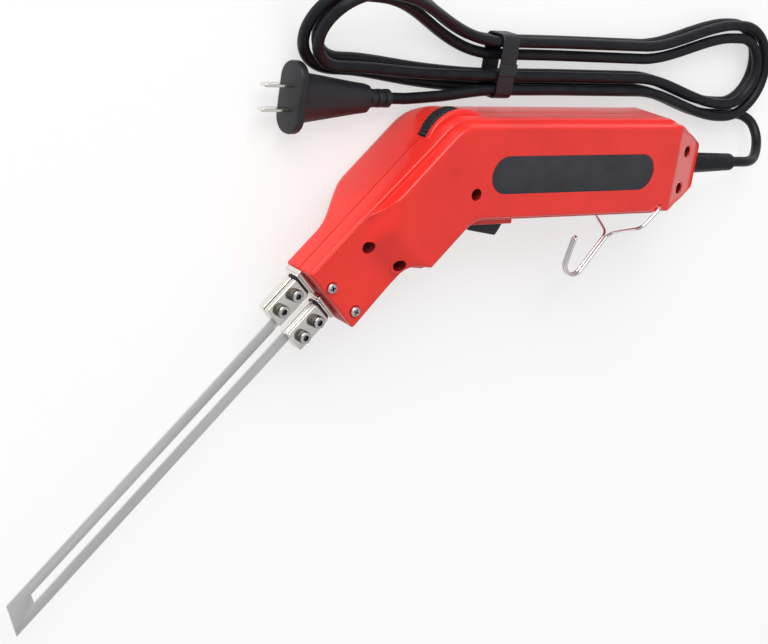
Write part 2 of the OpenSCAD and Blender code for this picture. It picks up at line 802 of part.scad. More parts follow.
// One tube along points, with rings turned as little as possible
function tangent(p, i) = unit(p[min(i + 1, len(p) - 1)] - p[max(i - 1, 0)]);
function square_to(n, t) = unit(n - (n * t) * t);
function first_normal(t) = square_to(abs(t[2]) < 0.8 ? [0, 0, 1] : [1, 0, 0], t);
function tube_points(p, r, sides) =
  let (
    last = len(p) - 1,
    normals = [for (i = 0, n = first_normal(tangent(p, 0)); i <= last;
      i = i + 1, n = i <= last ? square_to(n, tangent(p, i)) : n) n]
  )
  [for (i = [0:last], s = [0:sides - 1])
    let (n = normals[i], b = cross(tangent(p, i), n), a = (s + 0.5) * 360 / sides)
    p[i] + r * (cos(a) * n + sin(a) * b)];
function tube_faces(rings, sides) = concat(
  [for (s = [1:sides - 2]) [0, s, s + 1]],
  [for (i = [0:rings - 2], s = [0:sides - 1], half = [0, 1])
    let (a = i * sides + s, b = i * sides + (s + 1) % sides)
    half == 0 ? [a, a + sides, b] : [b, a + sides, b + sides]],
  [for (s = [1:sides - 2]) let (z = (rings - 1) * sides) [z, z + s + 1, z + s]]
);
module tube(p, r, sides) {
  polyhedron(points = tube_points(p, r, sides), faces = tube_faces(len(p), sides), convexity = 8);
}

spring_turns = 4;
spring_r = 2.4;
spring_wire_r = 0.35;
spring_x = 41;
module trigger_spring() {
  low = trigger_top + spring_wire_r + 0.05;
  high = switch_y[0] - spring_wire_r - 0.05;
  steps = 10 * spring_turns;
  color(steel) at_depth(0) tube([for (i = [0:steps])
    let (a = i * 360 * spring_turns / steps)
    [spring_x + spring_r * cos(a), low + (high - low) * i / steps, spring_r * sin(a)]],
    spring_wire_r, 6);
}
module switch_body() {
  color([0.12, 0.12, 0.13]) difference() {
    box_at(switch_x, switch_y, [-switch_half_w, switch_half_w]);
    at_depth(0) translate([plunger_x, switch_y[0] - cut_over, 0]) rotate([-90, 0, 0])
      cylinder(r = plunger_r + run_gap, h = 9 + cut_over);
  }
}
module switch_plunger() {
  low = trigger_top + slide_gap;
  color([0.85, 0.85, 0.83]) at_depth(0) translate([plunger_x, low, 0]) rotate([-90, 0, 0])
    cylinder(r = plunger_r, h = switch_y[0] + 5 - low);
}

module along_x(x0, x1, y, w, r) {
  at_depth(w) translate([x0, y, 0]) rotate([0, 90, 0]) cylinder(r = r, h = x1 - x0);
}
cord_end_x = clamp_x - 8;
module cord_end() {
  color(black) along_x(cord_end_x, tail_reach - wall - relief_collar_t, cord_y, 0, cord_d / 2);
}
module cord_clamp() {
  color(black) difference() {
    box_at([clamp_x, clamp_x + clamp_len], [cord_y - clamp_half_h, cord_y + clamp_half_h],
      [cord_d / 2, cord_d / 2 + 3]);
    for (side = [-1, 1]) boss([clamp_x + clamp_len / 2, cord_y + side * clamp_screw_off],
      0, left_depth, clamp_screw_r + run_gap);
  }
}
module cord_clamp_screws() {
  seat = cord_d / 2 + 3;
  color(steel) for (side = [-1, 1]) {
    s = [clamp_x + clamp_len / 2, cord_y + side * clamp_screw_off];
    boss(s, -right_depth + wall + 2, seat + 0.5, clamp_screw_r);
    boss(s, seat, seat + 1.8, 2 * clamp_screw_r);
  }
}
module internal_leads() {
  lead_r = 1.1;
  start = [switch_x[1], switch_y[1] - lead_drop];
  run = [cord_end_x, cord_y] - start;
  color([0.45, 0.3, 0.2]) for (w = [-1.5, 1.5]) at_depth(w) translate(start)
    rotate(atan2(run[1], run[0])) rotate([0, 90, 0]) cylinder(r = lead_r, h = norm(run));
}
module strain_relief() {
  color(black) union() {
    along_x(tail_reach - wall - relief_collar_t, tail_reach - wall, cord_y, 0, relief_collar_r);
    along_x(tail_reach - wall - 0.5, tail_reach + 0.5, cord_y, 0, relief_neck_r);
    at_depth(0) translate([tail_reach, cord_y, 0]) rotate([0, 90, 0])
      cylinder(d1 = relief_d, d2 = relief_tip_d, h = relief_len);
  }
}

// Wire hook: pin in the flank, leg, bridge to the shank, open curve, and back alike
wire_pair_w = hook_wire_d / 2 + 0.15;
hook_knee = hook_at + [-13, -12.2];
hook_top = hook_at + [-17.5, -21.5];
hook_mid = hook_at + [-40.3, -38.7];
hook_tip = hook_at + [-43.8, -24];
hook_bend = 4;
function bent(p, reach) = concat([p[0]],
  [for (i = [1:len(p) - 2], s = [0:4])
    let (
      a = p[i] + unit(p[i - 1] - p[i]) * min(reach, norm(p[i - 1] - p[i]) / 2.2),
      c = p[i] + unit(p[i + 1] - p[i]) * min(reach, norm(p[i + 1] - p[i]) / 2.2),
      t = s / 4
    )
    (1 - t) * (1 - t) * a + 2 * t * (1 - t) * p[i] + t * t * c],
  [p[len(p) - 1]]);
function hook_side(side) =
  let (
    leg = [
      [hook_at[0], hook_at[1], side * left_depth],
      [hook_at[0], hook_at[1], side * hook_leg_w],
      [hook_knee[0], hook_knee[1], side * hook_leg_w],
      [hook_top[0], hook_top[1], side * wire_pair_w]
    ],
    curve = [for (a = [-42:-23:-192])
      [hook_mid[0] + hook_r * cos(a), hook_mid[1] + hook_r * sin(a), side * wire_pair_w]]
  )
  concat(bent(concat(leg, [curve[0]]), hook_bend), [for (i = [1:len(curve) - 1]) curve[i]],
    [[hook_tip[0], hook_tip[1], side * wire_pair_w]]);
function reversed(p) = [for (i = [len(p) - 1:-1:0]) p[i]];
module hanging_hook() {
  lip = hook_tip + [0.6, 1.2];
  color([0.85, 0.86, 0.88]) {
    at_depth(0)
      tube(concat(hook_side(1), [[lip[0], lip[1], 0]], reversed(hook_side(-1))), hook_wire_d / 2, 8);
    boss(hook_at, left_depth - wall - 3, left_depth + 0.3, hook_wire_d / 2);
    boss(hook_at, -left_depth - 0.3, -left_depth + wall + 3, hook_wire_d / 2);
  }
}

// Hank: runs between round ends, drawn in at the tie, spiralling in on the floor layer,
// climbing along one run, and out again on the upper layer; the left end leans up
tie_x = 60;
hank_y = 66;
hank_left = -50;
hank_right = 250;
left_shift = 19;
left_lean = 30;
right_spread_x = 170;
inner_r = 3 * cord_d;
turn_pitch = cord_d + 1.6;
waist_step = cord_d + 1.5;
layer_h = cord_d + 0.9;
run_passes = 6;
turning_pass = 3;
run_points = 15;
end_points = 8;
floor_z = cord_d / 2;
tie_lift = tie_t + 0.3;
function smooth(t) = let (s = max(0, min(1, t))) s * s * (3 - 2 * s);
function left_part(x) = smooth((tie_x - 6 - x) / (tie_x - 8 - hank_left));
function right_part(x) = smooth((x - right_spread_x) / (hank_right - right_spread_x - 5));
function spread(x) = max(left_part(x), right_part(x));
function middle_y(x) = hank_y + left_shift * left_part(x);
function lane_r(k) = inner_r + turn_pitch * abs(turning_pass - k) / 2;
function lane_waist(k) = waist_step * (0.5 + abs(turning_pass - k) / 2);
function lane_q(k, x) = lane_waist(k) + (lane_r(k) - lane_waist(k)) * spread(x);
function lift(x) = tie_lift * (1 - smooth((abs(x - tie_x) - 8) / 40));
function layer(k, done) = k < turning_pass ? 0 : k > turning_pass ? 1 : smooth(done);
// A point of the leaning section at x: q across the loops and n layers up
function leant(x, q, n) =
  let (a = left_lean * left_part(x))
  [x, middle_y(x) + q * cos(a) - n * sin(a), floor_z + lift(x) + (q + lane_q(0, x)) * sin(a) + n * cos(a)];
function run_of(k) =
  let (span = (hank_right - hank_left) / run_points)
  [for (i = [0:run_points]) let (x = k % 2 == 0 ? hank_right - i * span : hank_left + i * span)
    leant(x, (k % 2 == 0 ? -1 : 1) * lane_q(k, x), layer_h * layer(k, i / run_points))];
function end_of(k) =
  let (
    left = k % 2 == 0,
    x = left ? hank_left : hank_right,
    up = left ? 1 : -1
  )
  [for (i = [1:end_points - 1])
    let (
      a = 180 * i / end_points,
      r = lane_r(k) + (lane_r(k + 1) - lane_r(k)) * i / end_points,
      p = leant(x, -up * r * cos(a), layer_h * (k < turning_pass ? 0 : 1))
    )
    [x - up * r * sin(a), p[1], p[2]]];
// The last run leaves the others at the tie and ends straight at the plug
plug_tip_x = -15;
plug_y = hank_y - lane_waist(0) - 5.8;
plug_z = plug_flange_h / 2;
tie_z = floor_z + tie_lift + layer_h;
function plug_run(x) =
  let (t = smooth((tie_x - x) / (tie_x - plug_tip_x - 2 * cord_d)))
  [x, hank_y - lane_waist(0) + (plug_y - hank_y + lane_waist(0)) * t, tie_z + (plug_z - tie_z) * t];
function hank_path() = concat(
  [[hank_right + cord_d, hank_y - lane_r(0), floor_z]],
  [for (k = [0:run_passes - 1]) each concat(run_of(k), end_of(k))],
  [for (p = run_of(run_passes)) if (p[0] > tie_x + 10) p],
  [for (back = [0, 12, 25, 40]) plug_run(tie_x - back)],
  [for (left = [2, 1, 0]) plug_run(plug_tip_x + left * cord_d)]
);
hank_sides = 6;
hank_tube_r = cord_d / 2;

// Least distance between stretches of the hank, less one cord
function apart(p, i, j) = norm(p[i] - p[j]);
function between(p, i, j) =
  let (
    e = p[i + 1] - p[i],
    f = p[j] - p[i],
    t = max(0, min(1, (f * e) / (e * e)))
  )
  norm(f - t * e);
function least_gap(p) = min([for (i = [0:len(p) - 2], j = [0:len(p) - 1])
  if (abs(i - j) > 5 && abs(p[i][0] - p[j][0]) < 60) between(p, i, j)]) - cord_d;
function path_length(p) = [for (i = 1, s = norm(p[1] - p[0]); i < len(p);
  i = i + 1, s = i < len(p) ? s + norm(p[i] - p[i - 1]) : s) s][len(p) - 2];

module cord_hank() { color(black) tube(hank_path(), hank_tube_r, hank_sides); }

// Free stretch from the strain relief down to the floor and back to the hank
hank_from = hank_path()[0];
cord_route = concat(
  [[relief_tip_x, cord_y, mid_z], [relief_tip_x + 7, cord_y, mid_z]],
  [[258, 11.5, 29], [268, 12.5, 24.5], [276, 17, 18.5], [280.5, 24, 12.5], [279.5, 31, 7.5],
   [273.5, 34.8, 4.3]],
  [[hank_from[0] + 10, hank_from[1], hank_from[2]], hank_from]
);
module power_cord() { color(black) tube(cord_route, cord_d / 2, 10); }

module cord_tie() {
  fit = 0.3;
  low_y = middle_y(tie_x) - lane_waist(0) - cord_d / 2 - fit;
  high_y = middle_y(tie_x) + lane_waist(1) + cord_d / 2 + fit;
  high_z = tie_lift + cord_d + layer_h + fit;
  round_r = cord_d / 2;
  color([0.03, 0.03, 0.03]) translate([tie_x - tie_w / 2, 0, 0]) rotate([90, 0, 90])
    linear_extrude(tie_w) difference() {
      round_box([low_y - tie_t, 0], [high_y + tie_t, high_z + tie_t], round_r + tie_t);
      round_box([low_y, tie_t], [high_y, high_z], round_r);
    }
}
module round_box(a, b, r) {
  polygon(outline([[a, r], [[b[0], a[1]], r], [b, r], [[a[0], b[1]], r]], 0));
}

// Plug lying on the floor with its pins away from the hank
plug_rib_len = 15;
plug_body_end = plug_tip_x - plug_rib_len;
plug_flange_x = plug_body_end - plug_body_len;
plug_flange_t = 5;
module plug_disc(x, t, half_y, half_z, r) {
  translate([x, plug_y, plug_z]) rotate([90, 0, 90]) linear_extrude(t)
    round_box([-half_y, -half_z], [half_y, half_z], r);
}
module plug_body() {
  rib_r = 5;
  groove_r = 3.9;
  flange_low = plug_flange_h / 2;
  color(black) union() {
    plug_disc(plug_flange_x - plug_flange_t, plug_flange_t, plug_flange_w / 2, flange_low, flange_low - 0.5);
    hull() {
      plug_disc(plug_flange_x - 0.5, 0.6, plug_flange_w / 2 - 6, flange_low - 1, flange_low - 2);
      plug_disc(plug_body_end - 8, 8, 7.5, 6.5, 5);
    }
    translate([plug_body_end - 0.5, plug_y, plug_z]) rotate([0, 90, 0])
      cylinder(r = groove_r, h = plug_rib_len + 0.5);
    for (i = [0:2]) translate([plug_body_end + 1.2 + i * plug_rib_len / 3, plug_y, plug_z])
      rotate([0, 90, 0]) cylinder(r = rib_r, h = plug_rib_len / 3 - 1.6);
  }
}
module plug_pins() {
  thick = 1.5;
  tall = 6.3;
  color([0.8, 0.78, 0.72]) for (side = [-1, 1])
    translate([plug_flange_x - plug_flange_t - pin_len, plug_y + side * pin_pitch / 2 - thick / 2, plug_z])
      translate([0, 0, -tall / 2]) cube([pin_len, thick, tall]);
}

echo(hank_least_gap = least_gap(hank_path()), hank_length = path_length(hank_path()),
  free_length = path_length(cord_route));

left_housing();
right_housing();
rating_label();
housing_screws();
nose_screws();
nose_insulator();
upper_terminal();
lower_terminal();
upper_clamp_plate();
lower_clamp_plate();
clamp_screws();
blade();
terminal_nuts();
secondary_strap();
transformer_core();
transformer_bobbin();
primary_winding();
control_board();
potentiometer();
dial_wheel();
triac();
heat_sink();
capacitor();
trigger();
trigger_pin();
trigger_spring();
switch_body();
switch_plunger();
cord_end();
cord_clamp();
cord_clamp_screws();
internal_leads();
strain_relief();
hanging_hook();
power_cord();
cord_hank();
cord_tie();
plug_body();
plug_pins();
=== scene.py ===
import json
from math import cos, dist, hypot, pi, radians, sin, tan

import bmesh
import bpy
from mathutils import Matrix, Vector
from mathutils.geometry import delaunay_2d_cdt


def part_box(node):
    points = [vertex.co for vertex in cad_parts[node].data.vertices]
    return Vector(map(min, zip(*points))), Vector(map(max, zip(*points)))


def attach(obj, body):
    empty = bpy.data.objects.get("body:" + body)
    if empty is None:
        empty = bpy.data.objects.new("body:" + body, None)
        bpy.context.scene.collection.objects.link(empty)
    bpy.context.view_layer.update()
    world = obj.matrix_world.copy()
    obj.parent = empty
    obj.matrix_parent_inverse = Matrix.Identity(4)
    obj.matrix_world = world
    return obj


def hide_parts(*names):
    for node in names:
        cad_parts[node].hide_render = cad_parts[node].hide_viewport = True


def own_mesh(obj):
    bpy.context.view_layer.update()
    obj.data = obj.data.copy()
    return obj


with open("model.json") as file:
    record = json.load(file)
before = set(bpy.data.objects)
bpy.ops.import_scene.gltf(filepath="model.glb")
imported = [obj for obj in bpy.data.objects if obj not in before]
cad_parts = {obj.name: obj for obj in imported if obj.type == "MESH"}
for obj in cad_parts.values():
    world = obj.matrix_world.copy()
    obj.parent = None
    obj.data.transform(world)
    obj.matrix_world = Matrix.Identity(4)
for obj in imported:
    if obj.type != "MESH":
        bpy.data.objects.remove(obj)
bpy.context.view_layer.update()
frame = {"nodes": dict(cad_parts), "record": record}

MM = 0.001
# Height of the parting plane over the floor, in millimetres
MID = 31.0
HEAD_ANGLE = radians(46)
HEAD_COS, HEAD_SIN = cos(HEAD_ANGLE), sin(HEAD_ANGLE)

# Sizes shared with the part, in millimetres
NOSE, NOSE_LOW, HEAD_TOP, HEAD_LOW = 80.7, 20.3, 25.0, 28.0
TOP, BOTTOM, TAIL = 42.0, -14.5, 198.0
LEFT, RIGHT = 20.5, 20.5
NOSE_W, TAIL_W, TAIL_TAPER = 11.5, 9.0, 28.0
DIAL = (11.7, 27.5)
GUARD = (15.5, 21.6)
TRIGGER, TRIGGER_REACH = (31.0, -9.0), 27.5
HOOK = (163.0, -8.5)
CORD_Y = 12.0
UPPER_V, LOWER_V = 17.3, -3.5
BLOCK_U, BLOCK_LEN = 86.0, 22.5


def head(u, v):
    """Place of a point u along the head towards the nose and v across it."""
    return (-u * HEAD_COS - v * HEAD_SIN, -u * HEAD_SIN + v * HEAD_COS)


def head_uv(x, y):
    """The way back from head()."""
    return (-x * HEAD_COS - y * HEAD_SIN, -x * HEAD_SIN + y * HEAD_COS)


def smooth(t):
    """Eased step from 0 to 1."""
    t = max(0.0, min(1.0, t))
    return t * t * (3 - 2 * t)


show = bpy.context.scene.collection.objects.link

# Meshes: every maker gives one closed solid as a bmesh, in millimetres


def axes(origin, x_axis, y_axis, z_axis):
    """Matrix that carries a solid's own axes into the part's frame."""
    return Matrix.Translation(origin) @ Matrix((x_axis, y_axis, z_axis)).transposed().to_4x4()


X, Y, Z = (1, 0, 0), (0, 1, 0), (0, 0, 1)
FLANK = axes((0, 0, MID), X, Y, Z)
IN_HEAD = axes((0, 0, MID), (-HEAD_COS, -HEAD_SIN, 0), (-HEAD_SIN, HEAD_COS, 0), Z)
AS_GIVEN = Matrix.Identity(4)
# Turn in radians from which an edge is rounded, and the reach in millimetres of a merge
RIM_TURN, POLE_MERGE, MERGE = 0.5, 1e-5, 1e-4


def upright(x, y):
    return axes((x, y, MID), X, Y, Z)


def in_head(u, v):
    return IN_HEAD @ Matrix.Translation((u, v, 0))


def along_head(v):
    return IN_HEAD @ axes((0, v, 0), Y, Z, X)


def along_x(y, z):
    return axes((0, y, z), Y, Z, X)


def placed(bm, where):
    bmesh.ops.transform(bm, matrix=where, verts=bm.verts)
    return bm


def round_rims(bm, reach, steps):
    """Round every edge that turns by more than about thirty degrees."""
    bmesh.ops.recalc_face_normals(bm, faces=bm.faces)
    rims = [edge for edge in bm.edges if edge.calc_face_angle(0) > RIM_TURN]
    bmesh.ops.bevel(bm, geom=rims, offset=reach, segments=steps, profile=0.5, affect="EDGES",
                    material=-1)


def box(low, high, where=FLANK, rim=0.0, steps=3):
    """A block between two corners, with rounded rims."""
    bm = bmesh.new()
    bmesh.ops.create_cube(bm, size=1.0)
    low, high = Vector(low), Vector(high)
    bmesh.ops.scale(bm, vec=high - low, verts=bm.verts)
    bmesh.ops.translate(bm, vec=(low + high) / 2, verts=bm.verts)
    if rim:
        round_rims(bm, rim, steps)
    return placed(bm, where)


def cylinder(site, radius, low, high, sides=40):
    """A round solid across the flanks, for bores and posts."""
    bm = bmesh.new()
    bmesh.ops.create_cone(bm, cap_ends=True, segments=sides, radius1=radius, radius2=radius,
                          depth=high - low)
    return placed(bm, upright(*site) @ Matrix.Translation((0, 0, (low + high) / 2)))


def slab(edge, low, high, where=FLANK, rim=0.0, steps=3):
    """A flat piece raised from its outline, with rounded rims."""
    bm = bmesh.new()
    foot = bm.faces.new([bm.verts.new((x, y, low)) for x, y in edge])
    raised = bmesh.ops.extrude_face_region(bm, geom=[foot])["geom"]
    top = [part for part in raised if isinstance(part, bmesh.types.BMVert)]
    bmesh.ops.translate(bm, vec=(0, 0, high - low), verts=top)
    if rim:
        round_rims(bm, rim, steps)
    return placed(bm, where)


def lathe(profile, where, sides=48, closed=False):
    """A profile of (radius, height) spun round its axis; an open one is closed at both poles."""
    if not closed:
        profile = [(0, profile[0][1])] + profile + [(0, profile[-1][1])]
    bm = bmesh.new()
    verts = [bm.verts.new((radius, 0, height)) for radius, height in profile]
    ahead = verts[1:] + verts[:1] if closed else verts[1:]
    edges = [bm.edges.new(pair) for pair in zip(verts, ahead)]
    bmesh.ops.spin(bm, geom=verts + edges, cent=(0, 0, 0), axis=Z, dvec=(0, 0, 0),
                   angle=2 * pi, steps=sides, use_merge=True)
    bmesh.ops.remove_doubles(bm, verts=bm.verts, dist=POLE_MERGE)
    return placed(bm, where)


def add_ring(bm, points):
    """A closed ring of points, as its vertices and its edges."""
    verts = [bm.verts.new(p) for p in points]
    return verts, [bm.edges.new(pair) for pair in zip(verts, verts[1:] + verts[:1])]


def loft(rings, where=AS_GIVEN, closed=False):
    """Rings of points bridged one to the next, with flat ends."""
    bm = bmesh.new()
    loops = [add_ring(bm, ring)[1] for ring in rings]
    for near, far in zip(loops, loops[1:] + loops[:1] if closed else loops[1:]):
        bmesh.ops.bridge_loops(bm, edges=near + far)
    if not closed:
        for loop in (loops[0], loops[-1]):
            bmesh.ops.contextual_create(bm, geom=loop)
    return placed(bm, where)


def wire(path, radius, sides):
    """Round wire along a path of points."""
    points = [Vector(p) for p in path]
    last = len(points) - 1
    up, rings = Vector(Z), []
    for i, point in enumerate(points):
        ahead = (points[min(i + 1, last)] - points[max(i - 1, 0)]).normalized()
        if i == 0 and abs(ahead.z) > 0.8:
            up = Vector(X)
        up = (up - up.dot(ahead) * ahead).normalized()
        side = ahead.cross(up)
        rings.append([point + radius * (cos(a) * up + sin(a) * side) for a in spread(sides)])
    return loft(rings)


def spread(count):
    """Angles round a circle."""
    return [2 * pi * k / count for k in range(count)]


def gathered(name, solids):
    """Several solids as one mesh in metres, with every face turned outwards."""
    mesh = bpy.data.meshes.new(name)
    whole = bmesh.new()
    for bm in solids:
        bmesh.ops.remove_doubles(bm, verts=bm.verts, dist=MERGE)
        bmesh.ops.recalc_face_normals(bm, faces=bm.faces)
        if bm.calc_volume(signed=True) < 0:
            bmesh.ops.reverse_faces(bm, faces=bm.faces)
        bm.to_mesh(mesh)
        bm.free()
        whole.from_mesh(mesh)
    bmesh.ops.scale(whole, vec=(MM, MM, MM), verts=whole.verts)
    whole.to_mesh(mesh)
    whole.free()
    return mesh


def shade(mesh, angle):
    """Smooth faces, with the edges that turn by more than the angle kept sharp."""
    bm = bmesh.new()
    bm.from_mesh(mesh)
    for face in bm.faces:
        face.smooth = True
    for edge in bm.edges:
        edge.smooth = len(edge.link_faces) != 2 or edge.calc_face_angle(0) < radians(angle)
    bm.to_mesh(mesh)
    bm.free()


def place_mesh(name, mesh, slot, nodes=(), body="tool", sharp=32, skin=None):
    """Hang a mesh on its body and hide the nodes of the part it stands for."""
    shade(mesh, sharp)
    mesh.materials.append(SKINS[skin or slot])
    obj = bpy.data.objects.new(name, mesh)
    show(obj)
    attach(obj, body)
    if nodes:
        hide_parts(*nodes)
    return obj


def piece(name, solids, node, body="tool"):
    """A piece made of solids that stands for one node of the part."""
    return place_mesh(name, gathered(name, solids), SLOTS[node], (node,), body)


# Materials

# Height of the fine grain, in metres
GRAIN_HEIGHT = 0.00008


def join(tree, *links):
    """Link sockets, each link given as node, output, node, input."""
    for source, out, target, into in links:
        tree.links.new(source.outputs[out], target.inputs[into])


def grain_group():
    """Colour and gloss that drift with a coarse noise, and a bump from a fine one."""
    group = bpy.data.node_groups.new("grain", "ShaderNodeTree")
    takes = (("Vector", "Vector"), ("Dark", "Color"), ("Light", "Color"), ("Smooth", "Float"),
             ("Rough", "Float"), ("Coarse", "Float"), ("Fine", "Float"), ("Bump", "Float"))
    for name, kind in takes:
        group.interface.new_socket(name, in_out="INPUT", socket_type="NodeSocket" + kind)
    for name, kind in (("Color", "Color"), ("Roughness", "Float"), ("Normal", "Vector")):
        group.interface.new_socket(name, in_out="OUTPUT", socket_type="NodeSocket" + kind)
    nodes = group.nodes
    start, end = nodes.new("NodeGroupInput"), nodes.new("NodeGroupOutput")
    coarse, fine = nodes.new("ShaderNodeTexNoise"), nodes.new("ShaderNodeTexNoise")
    drift, mix = nodes.new("ShaderNodeMapRange"), nodes.new("ShaderNodeMix")
    gloss, bump = nodes.new("ShaderNodeMapRange"), nodes.new("ShaderNodeBump")
    coarse.inputs["Detail"].default_value = 4
    fine.inputs["Detail"].default_value = 2
    drift.inputs["From Min"].default_value = 0.3
    drift.inputs["From Max"].default_value = 0.7
    mix.data_type = "RGBA"
    bump.inputs["Distance"].default_value = GRAIN_HEIGHT
    join(group,
         (start, "Vector", coarse, "Vector"), (start, "Coarse", coarse, "Scale"),
         (start, "Vector", fine, "Vector"), (start, "Fine", fine, "Scale"),
         (coarse, "Fac", drift, "Value"), (drift, "Result", mix, "Factor"),
         (start, "Dark", mix, "A"), (start, "Light", mix, "B"),
         (drift, "Result", gloss, "Value"), (start, "Smooth", gloss, "To Min"),
         (start, "Rough", gloss, "To Max"), (fine, "Fac", bump, "Height"),
         (start, "Bump", bump, "Strength"), (mix, "Result", end, "Color"),
         (gloss, "Result", end, "Roughness"), (bump, "Normal", end, "Normal"))
    return group


GRAIN = grain_group()
SKINS = {}


def new_material(name, dark, light, rough, coarse=60, fine=1500, bump=0.2, turn=0,
                 reach=(1, 1, 1), **more):
    """Grain over the part's own axes; turn and reach draw it out along a direction."""
    mat = bpy.data.materials.new(name)
    mat.use_nodes = True
    nodes = mat.node_tree.nodes
    shader = nodes["Principled BSDF"]
    place, mapping = nodes.new("ShaderNodeTexCoord"), nodes.new("ShaderNodeMapping")
    mapping.vector_type = "TEXTURE"
    mapping.inputs["Rotation"].default_value = (0, 0, turn)
    mapping.inputs["Scale"].default_value = reach
    grain = nodes.new("ShaderNodeGroup")
    grain.node_tree = GRAIN
    given = (("Dark", (*dark, 1)), ("Light", (*light, 1)), ("Smooth", rough[0]),
             ("Rough", rough[1]), ("Coarse", coarse), ("Fine", fine), ("Bump", bump))
    for key, value in given:
        grain.inputs[key].default_value = value
    join(mat.node_tree,
         (place, "Object", mapping, "Vector"), (mapping, "Vector", grain, "Vector"),
         (grain, "Color", shader, "Base Color"), (grain, "Roughness", shader, "Roughness"),
         (grain, "Normal", shader, "Normal"))
    for key, value in more.items():
        shader.inputs[key.replace("_", " ")].default_value = value
    SKINS[name] = mat
    return mat


new_material("red_shell", (0.68, 0.013, 0.006), (0.78, 0.019, 0.009), (0.36, 0.46), coarse=35,
             bump=0.3, Specular_IOR_Level=0.25, Coat_Weight=0.6, Coat_Roughness=0.22,
             Sheen_Weight=0.4, Sheen_Roughness=0.35)
# painted shade: a darker red for the walls of the sunk seats
new_material("red_painted_shade", (0.16, 0.005, 0.004), (0.22, 0.007, 0.006), (0.5, 0.6), coarse=200)
new_material("label_grey", (0.019, 0.019, 0.024), (0.03, 0.03, 0.037), (0.34, 0.44), coarse=90,
             bump=0.08, Specular_IOR_Level=0.4)
new_material("black_plastic", (0.009, 0.009, 0.012), (0.017, 0.017, 0.022), (0.36, 0.5), bump=0.35,
             Specular_IOR_Level=0.4)
new_material("black_rubber", (0.005, 0.0055, 0.008), (0.01, 0.011, 0.015), (0.38, 0.5), coarse=120,
             fine=900, bump=0.25, Specular_IOR_Level=0.22)
new_material("glossy_black", (0.006, 0.006, 0.008), (0.012, 0.012, 0.014), (0.08, 0.14), bump=0.04)
new_material("zinc_steel", (0.5, 0.5, 0.51), (0.68, 0.68, 0.69), (0.2, 0.34), coarse=400, fine=2500,
             bump=0.12, Metallic=1.0)
new_material("nickel_plate", (0.72, 0.69, 0.64), (0.86, 0.84, 0.8), (0.12, 0.24), coarse=160,
             fine=1200, bump=0.1, turn=HEAD_ANGLE, reach=(6, 1, 1), Metallic=1.0)
new_material("blade_steel", (0.6, 0.595, 0.6), (0.74, 0.735, 0.74), (0.3, 0.46), coarse=240,
             fine=1800, bump=0.16, turn=HEAD_ANGLE, reach=(30, 1, 1), Metallic=1.0)
# painted shade: a darker steel for the screws' cross slots, the cap screws' sides and their sockets
new_material("steel_painted_shade", (0.06, 0.055, 0.05), (0.16, 0.15, 0.135), (0.25, 0.4), coarse=500,
             fine=2500, bump=0.15, Metallic=1.0)
new_material("chrome_wire", (0.7, 0.7, 0.72), (0.86, 0.86, 0.88), (0.06, 0.13), coarse=200,
             bump=0.03, Metallic=1.0)
new_material("copper_strap", (0.5, 0.2, 0.09), (0.68, 0.32, 0.17), (0.25, 0.42), coarse=300,
             turn=HEAD_ANGLE, reach=(4, 1, 1), Metallic=1.0)
new_material("brass_parts", (0.6, 0.42, 0.15), (0.76, 0.56, 0.24), (0.22, 0.36), coarse=300,
             Metallic=1.0)
new_material("core_iron", (0.05, 0.05, 0.06), (0.2, 0.2, 0.22), (0.4, 0.6), coarse=1400, fine=1400,
             bump=0.6, turn=HEAD_ANGLE, reach=(1, 60, 60), Metallic=0.8)
new_material("white_nylon", (0.66, 0.62, 0.52), (0.8, 0.77, 0.68), (0.4, 0.55))
new_material("insulator", (0.5, 0.01, 0.008), (0.62, 0.014, 0.011), (0.5, 0.65), coarse=250,
             fine=900, bump=0.5)
new_material("board_green", (0.012, 0.09, 0.03), (0.04, 0.2, 0.07), (0.2, 0.4), coarse=700,
             reach=(5, 1, 1))
new_material("bare_aluminium", (0.6, 0.6, 0.62), (0.76, 0.76, 0.78), (0.28, 0.42), coarse=300,
             reach=(1, 20, 1), Metallic=1.0)
new_material("lead_brown", (0.11, 0.04, 0.02), (0.2, 0.08, 0.04), (0.3, 0.45), coarse=200)
SLOTS = {entry["node"]: entry["material_slot"] for entry in frame["record"]["subparts"]}
for node, slot in SLOTS.items():
    skin = frame["nodes"][node].data.materials
    skin.clear()
    skin.append(SKINS[slot])


# Body outline


def bend_x(v, y):
    """Where the head's line at v crosses the handle's line at y."""
    return head(-(y - v * HEAD_COS) / HEAD_SIN, v)[0]


# Corners of the outline with the radius of each
CORNERS = [
    (head(NOSE, -NOSE_LOW), 1.5), (head(37, -18.6), 6), (head(29.6, -HEAD_LOW), 4),
    ((bend_x(-HEAD_LOW, BOTTOM), BOTTOM), 14), ((TAIL - 33, BOTTOM), 6),
    ((TAIL, BOTTOM + 13.5), 4), ((TAIL, TOP - 15.5), 4), ((TAIL - 31, TOP), 8),
    ((bend_x(HEAD_TOP, TOP), TOP), 22), (head(NOSE, HEAD_TOP), 1.5),
]
ARC_STEPS = 10
SIDE_STEP = 2.5
LEAST_R = 0.3
# Outlines are kept for each twentieth of a millimetre
FINE = 20


